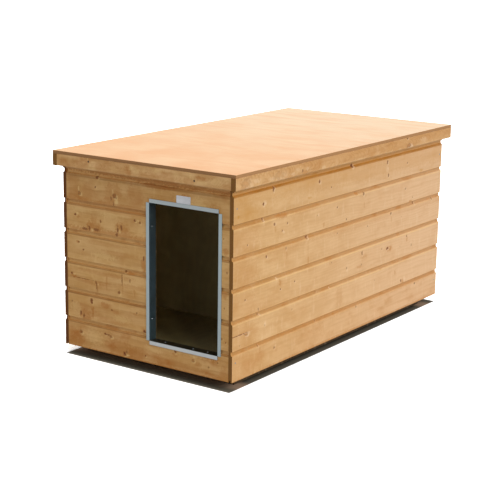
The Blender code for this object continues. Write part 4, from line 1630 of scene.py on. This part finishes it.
@dataclass
class ScrewMaker:
    """Makes the heads of cross-slotted screws, each turned its own way.

    Attributes:
        sides: Corners round a head, a multiple of eight.
        slot_depth: Depth of the cross as a share of the head's radius.
        seed: Picks the turns.
        made: Heads made so far.
    """

    sides: int = 24
    slot_depth: float = 0.34
    seed: int = 71
    made: int = 0

    # The outline over the surface, as shares of the radius and the height, and under it, of the radius
    CROWN = ((0.18, 1.0), (0.36, 0.98), (0.52, 0.92), (0.80, 0.66), (0.96, 0.25))
    NECK = ((1.0, -0.05), (0.62, -0.9))
    # The cross: rings that it sinks, corners beside an arm's middle that it sinks, and its hub's depth
    SUNK_RINGS = 2
    INNER_ARM = 3
    OUTER_ARM = 1
    HUB_DEPTH = 1.15
    TURNS = (0, 90)

    def __post_init__(self) -> None:
        """Seeds the turns."""
        self.chance = random.Random(self.seed)

    def head(
        self, name: str, place: Vector, facing: Vector, kind: Head, material: bpy.types.Material,
        body: str = "kennel",
    ) -> None:
        """Makes one head.

        Args:
            name: The piece's name.
            place: The head's middle on the surface that it is driven into.
            facing: The way the head looks.
            kind: What head it is.
            material: Its finish.
            body: The body that it rides on.
        """
        radius, share = kind.value
        proud, sunk = radius * share, radius * self.slot_depth
        profile = [(reach, proud * height) for reach, height in self.CROWN]
        profile += [(reach, radius * height) for reach, height in self.NECK]
        quarter = self.sides // 4
        mesh = bmesh.new()
        rings = []
        for ring, (reach, height) in enumerate(profile):
            corners = []
            for side in range(self.sides):
                angle = 2 * math.pi * side / self.sides
                off_arm = min(side % quarter, quarter - side % quarter)
                in_arm = off_arm <= (self.OUTER_ARM if ring else self.INNER_ARM)
                level = height - sunk if in_arm and ring < self.SUNK_RINGS else height
                corner = reach * radius * math.cos(angle), reach * radius * math.sin(angle), level
                corners.append(mesh.verts.new(corner))
            rings.append(corners)
        hub = mesh.verts.new((0, 0, proud - sunk * self.HUB_DEPTH))
        foot = mesh.verts.new((0, 0, profile[-1][1]))
        for side in range(self.sides):
            after = (side + 1) % self.sides
            mesh.faces.new((hub, rings[0][side], rings[0][after]))
            mesh.faces.new((foot, rings[-1][after], rings[-1][side]))
            for inner, outer in zip(rings, rings[1:]):
                mesh.faces.new((inner[side], outer[side], outer[after], inner[after]))
        turn = Matrix.Rotation(math.radians(self.chance.uniform(*self.TURNS)), 4, "Z")
        mesh.transform(Matrix.Translation(place) @ facing.to_track_quat("Z", "Y").to_matrix().to_4x4() @ turn)
        add_piece(name, mesh, material, body)
        self.made += 1


@dataclass
class Fixings:
    """Every screw that shows: at the walls' corners, in the doorway's angles and in the hinges.

    Attributes:
        maker: Makes the heads.
        corner_heights: Heights of the screws at the corners.
        corner_inset: How far they sit from a board's end.
        jamb_heights: Heights of the screws in the jambs.
        jamb_depth: How far they sit behind the angles' front.
        sill_shares: Places of the screws in the sill and the lintel, as shares of their length.
        sill_depth: How far these sit behind the angles' front.
        hinge_shares: Places of the screws in a leaf, as shares of its length.
        lid_inset: How far a lid leaf's screws sit from its edge.
        wall_rise: How far a wall leaf's screws sit over its foot.
        search: How far in front of a leaf its face is looked for.
    """

    maker: ScrewMaker
    corner_heights: tuple[float, float] = (0.1035, 0.6495)
    corner_inset: float = 0.0195
    jamb_heights: tuple[float, float] = (0.200, 0.540)
    jamb_depth: float = 0.018
    sill_shares: tuple[float, float, float] = (0.19, 0.605, 0.816)
    sill_depth: float = 0.0205
    hinge_shares: tuple[float, float, float] = (0.16, 0.5, 0.84)
    lid_inset: float = 0.0062
    wall_rise: float = 0.0135
    search: float = 0.05

    LEVELS = ("low", "high")

    def build(self) -> None:
        """Drives every screw."""
        zinc = SCREW_ZINC.build("zinc_screws")
        self.drive_corners(zinc)
        # The doorway's screws take the darker zinc, a painted shade
        self.drive_edging(SHADED_SCREW_ZINC.build("dull_screws"))
        self.drive_hinges(zinc)
        LOG.info("fixings: %d screws", self.maker.made)

    def drive_corners(self, zinc: bpy.types.Material) -> None:
        """Drives the screws at the ends of the side walls.

        Args:
            zinc: Their finish.
        """
        for side, wall in ((1, "right"), (-1, "left")):
            low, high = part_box(f"{wall}_board_1")
            face = high.x if side > 0 else low.x
            for end, y in (("front", low.y + self.corner_inset), ("back", high.y - self.corner_inset)):
                for level, z in zip(self.LEVELS, self.corner_heights):
                    name, place = f"wall_screw_{wall}_{end}_{level}", Vector((face, y, z))
                    self.maker.head(name, place, Vector((side, 0, 0)), Head.COUNTERSUNK, zinc)

    def drive_edging(self, zinc: bpy.types.Material) -> None:
        """Drives the screws of the doorway's angles.

        Args:
            zinc: Their finish.
        """
        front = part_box("door_angle_left")[0].y
        for side, jamb in ((1, "left"), (-1, "right")):
            low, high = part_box(f"door_angle_{jamb}")
            inner = high.x if side > 0 else low.x
            for level, z in zip(self.LEVELS, self.jamb_heights):
                place = Vector((inner, front + self.jamb_depth, z))
                self.maker.head(f"jamb_screw_{jamb}_{level}", place, Vector((side, 0, 0)), Head.PAN, zinc)
        for side, angle, part in ((1, "bottom", "sill"), (-1, "top", "lintel")):
            low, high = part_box(f"door_angle_{angle}")
            inner = high.z if side > 0 else low.z
            for number, share in enumerate(self.sill_shares, 1):
                place = Vector((low.x + (high.x - low.x) * share, front + self.sill_depth, inner))
                self.maker.head(f"{part}_screw_{number}", place, Vector((0, 0, side)), Head.PAN, zinc)

    def drive_hinges(self, zinc: bpy.types.Material) -> None:
        """Drives the screws of the hinges' leaves.

        Args:
            zinc: Their finish.
        """
        for end in ("front", "rear"):
            for leaf, body, facing, inset, rise in (
                ("wall", "kennel", Vector((-1, 0, 0)), 0.0, self.wall_rise),
                ("lid", "lid", Vector((0, 0, -1)), self.lid_inset, 0.0),
            ):
                node = f"{end}_hinge_{leaf}_leaf"
                low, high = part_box(node)
                for number, share in enumerate(self.hinge_shares, 1):
                    start = Vector((low.x + inset, low.y + (high.y - low.y) * share, low.z + rise))
                    name, place = f"{end}_hinge_{leaf}_screw_{number}", self.leaf_face(node, start, facing)
                    self.maker.head(name, place, facing, Head.COUNTERSUNK, zinc, body)

    def leaf_face(self, name: str, start: Vector, facing: Vector) -> Vector:
        """Finds where a leaf's outer face lies.

        Args:
            name: The leaf's node.
            start: A point level with the screw.
            facing: The way the face looks.

        Returns:
            The point of the face straight behind the start.
        """
        hit, place, _, _ = bpy.data.objects[name].ray_cast(start + facing * self.search, -facing)
        if not hit:
            raise ValueError(f"{name} has no face behind {tuple(start)}")
        return place


@dataclass
class DoorEdging:
    """The aluminium angles round the doorway and the bare plate over it."""

    ease: float = 0.0004
    plate_corner: float = 0.003
    least_corner: float = 0.0005
    edge_ease: float = 0.0003
    rim_width: float = 0.0016
    rim_slope: float = 0.0004
    rim_height: float = 0.0002
    corner_steps: int = 5

    def build(self, nodes: Nodes) -> None:
        """Dresses the angles and makes the plate.

        Args:
            nodes: The frame's nodes by name.
        """
        for name, metal in EDGING_METALS.items():
            dress(nodes[name], metal.build("aluminium_" + name), self.ease)
        self.make_plate()
        LOG.info("door edging: four angles and the plate")

    def outline(self, low: Vector, high: Vector, inset: float) -> list[tuple[float, float]]:
        """Draws the plate's rounded outline.

        Args:
            low: Lowest corner of the plate.
            high: Highest corner.
            inset: How far the outline lies inside them in metres.

        Returns:
            Points as world x and z.
        """
        radius = max(self.plate_corner - inset, self.least_corner)
        left, right = low.x + inset + radius, high.x - inset - radius
        foot, top = low.z + inset + radius, high.z - inset - radius
        points = []
        for quarter, (x, z) in enumerate(((right, top), (left, top), (left, foot), (right, foot))):
            for step in range(self.corner_steps + 1):
                angle = math.radians(90 * quarter + 90 * step / self.corner_steps)
                points.append((x + radius * math.cos(angle), z + radius * math.sin(angle)))
        return points

    def make_plate(self) -> None:
        """Makes the bare plate with rounded corners and a pressed rim."""
        low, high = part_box("name_plate")
        mesh = bmesh.new()
        profile = (
            (0.0, high.y),
            (0.0, low.y + self.edge_ease),
            (self.edge_ease, low.y),
            (self.rim_width, low.y),
            (self.rim_width + self.rim_slope, low.y + self.rim_height),
        )
        rings = []
        for inset, y in profile:
            rings.append([mesh.verts.new((x, y, z)) for x, z in self.outline(low, high, inset)])
        for inner, outer in zip(rings, rings[1:]):
            for i in range(len(inner)):
                mesh.faces.new((inner[i - 1], inner[i], outer[i], outer[i - 1]))
        mesh.faces.new(rings[0])
        mesh.faces.new(rings[-1])
        plate = add_piece("bare_plate", mesh, PLATE_FACE.build("plate_finish"), "kennel")
        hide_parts("name_plate")


@dataclass
class Hinges:
    """The two butt hinges."""

    ease: float = 0.0003

    def build(self, nodes: Nodes) -> None:
        """Dresses the leaves.

        Args:
            nodes: The frame's nodes by name.
        """
        zinc = ZINC.build("zinc_hinges")
        for name in sorted(nodes):
            if "_hinge_" in name:
                dress(nodes[name], zinc, self.ease)
        LOG.info("hinges: four leaves")


@dataclass
class Studio:
    """The floor, the soft light and the white surroundings."""

    floor_half: float = 60.0
    world_strength: float = 0.38
    key_strength: float = 1.75
    key_from: tuple[float, float, float] = (0.84, -0.20, 0.50)
    top_strength: float = 1.25
    top_from: tuple[float, float, float] = (0.10, -0.05, 0.99)
    light_angle: float = 28.0
    lamp_distance: float = 5.0
    # How far the floor's painted shadow reaches past the side wall's face and the front wall's face, in metres
    shade_past_side: float = -0.0047
    shade_past_front: float = 0.0083

    def build(self) -> None:
        """Makes the studio."""
        low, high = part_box("right_board_1")
        finish = StudioFloor((high.x + self.shade_past_side, self.shade_past_front - low.y))
        mesh = bmesh.new()
        corners = ((-1, -1), (1, -1), (1, 1), (-1, 1))
        mesh.faces.new([mesh.verts.new((x * self.floor_half, y * self.floor_half, 0.0)) for x, y in corners])
        add_mesh("studio_floor", mesh, finish.build("floor_finish"))
        self.light_world()
        self.hang_light("key_light", self.key_strength, self.key_from)
        self.hang_light("top_light", self.top_strength, self.top_from)
        bpy.context.scene.view_settings.view_transform = "Standard"
        LOG.info("studio: floor, light and surroundings")

    def light_world(self) -> None:
        """Makes the surroundings light the kennel evenly and look white."""
        world = bpy.data.worlds.new("studio_world")
        world.use_nodes = True
        sketch = Sketch(world.node_tree)
        looker = sketch.maths("MAXIMUM", *sketch.lookers())
        spans = {"Value": looker, "To Min": self.world_strength, "To Max": 1.0}
        strength = sketch.take("Result", "MapRange", spans)
        back = sketch.take(0, "Background", {"Color": (1.0, 1.0, 1.0, 1.0), "Strength": strength})
        sketch.node("OutputWorld", {"Surface": back})
        bpy.context.scene.world = world

    def hang_light(self, name: str, strength: float, origin: tuple[float, float, float]) -> None:
        """Hangs one soft light.

        Args:
            name: Its name.
            strength: Its strength.
            origin: The direction that it shines from.
        """
        data = bpy.data.lights.new(name, "SUN")
        data.energy, data.angle = strength, math.radians(self.light_angle)
        lamp = bpy.data.objects.new(name, data)
        lamp.rotation_mode = "QUATERNION"
        lamp.rotation_quaternion = Vector(origin).to_track_quat("Z", "Y")
        lamp.location = Vector(origin) * self.lamp_distance
        bpy.context.scene.collection.objects.link(lamp)


@dataclass
class PhotoCamera:
    """The camera, where the photograph was taken from."""

    place: tuple[float, float, float] = (3.036, -4.4579, 1.5904)
    azimuth: float = 34.872
    elevation: float = 13.33
    roll: float = 0.827
    focal_px: float = 1381.8
    sensor: float = 36.0
    clip: tuple[float, float] = (0.05, 400.0)

    def build(self) -> None:
        """Sets up the camera."""
        data = bpy.data.cameras.new("photo_camera")
        data.sensor_width = self.sensor
        data.lens = self.focal_px / PHOTO_WIDTH_PX * self.sensor
        data.clip_start, data.clip_end = self.clip
        camera = bpy.data.objects.new("photo_camera", data)
        turns = ((self.azimuth, "Z"), (90 - self.elevation, "X"), (self.roll, "Z"))
        around, tilt, roll = (Matrix.Rotation(math.radians(angle), 4, axis) for angle, axis in turns)
        camera.matrix_world = Matrix.Translation(self.place) @ around @ tilt @ roll
        bpy.context.scene.collection.objects.link(camera)
        bpy.context.scene.camera = camera
        LOG.info("camera: lens %.1f mm", data.lens)


def main() -> None:
    """Builds the kennel's looks round the frame."""
    logging.basicConfig(level=logging.INFO, format="%(name)s: %(message)s")
    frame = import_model()
    nodes = frame["nodes"]
    KnotGroup()
    PhotoCamera().build()
    first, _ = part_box("right_board_1")
    Cladding(first.z).build(nodes)
    RoofLid().build(nodes)
    Frame().build(nodes)
    DoorEdging().build(nodes)
    Hinges().build(nodes)
    Fixings(ScrewMaker()).build()
    Studio().build()
    bpy.context.view_layer.update()


if __name__ == "__main__":
    main()
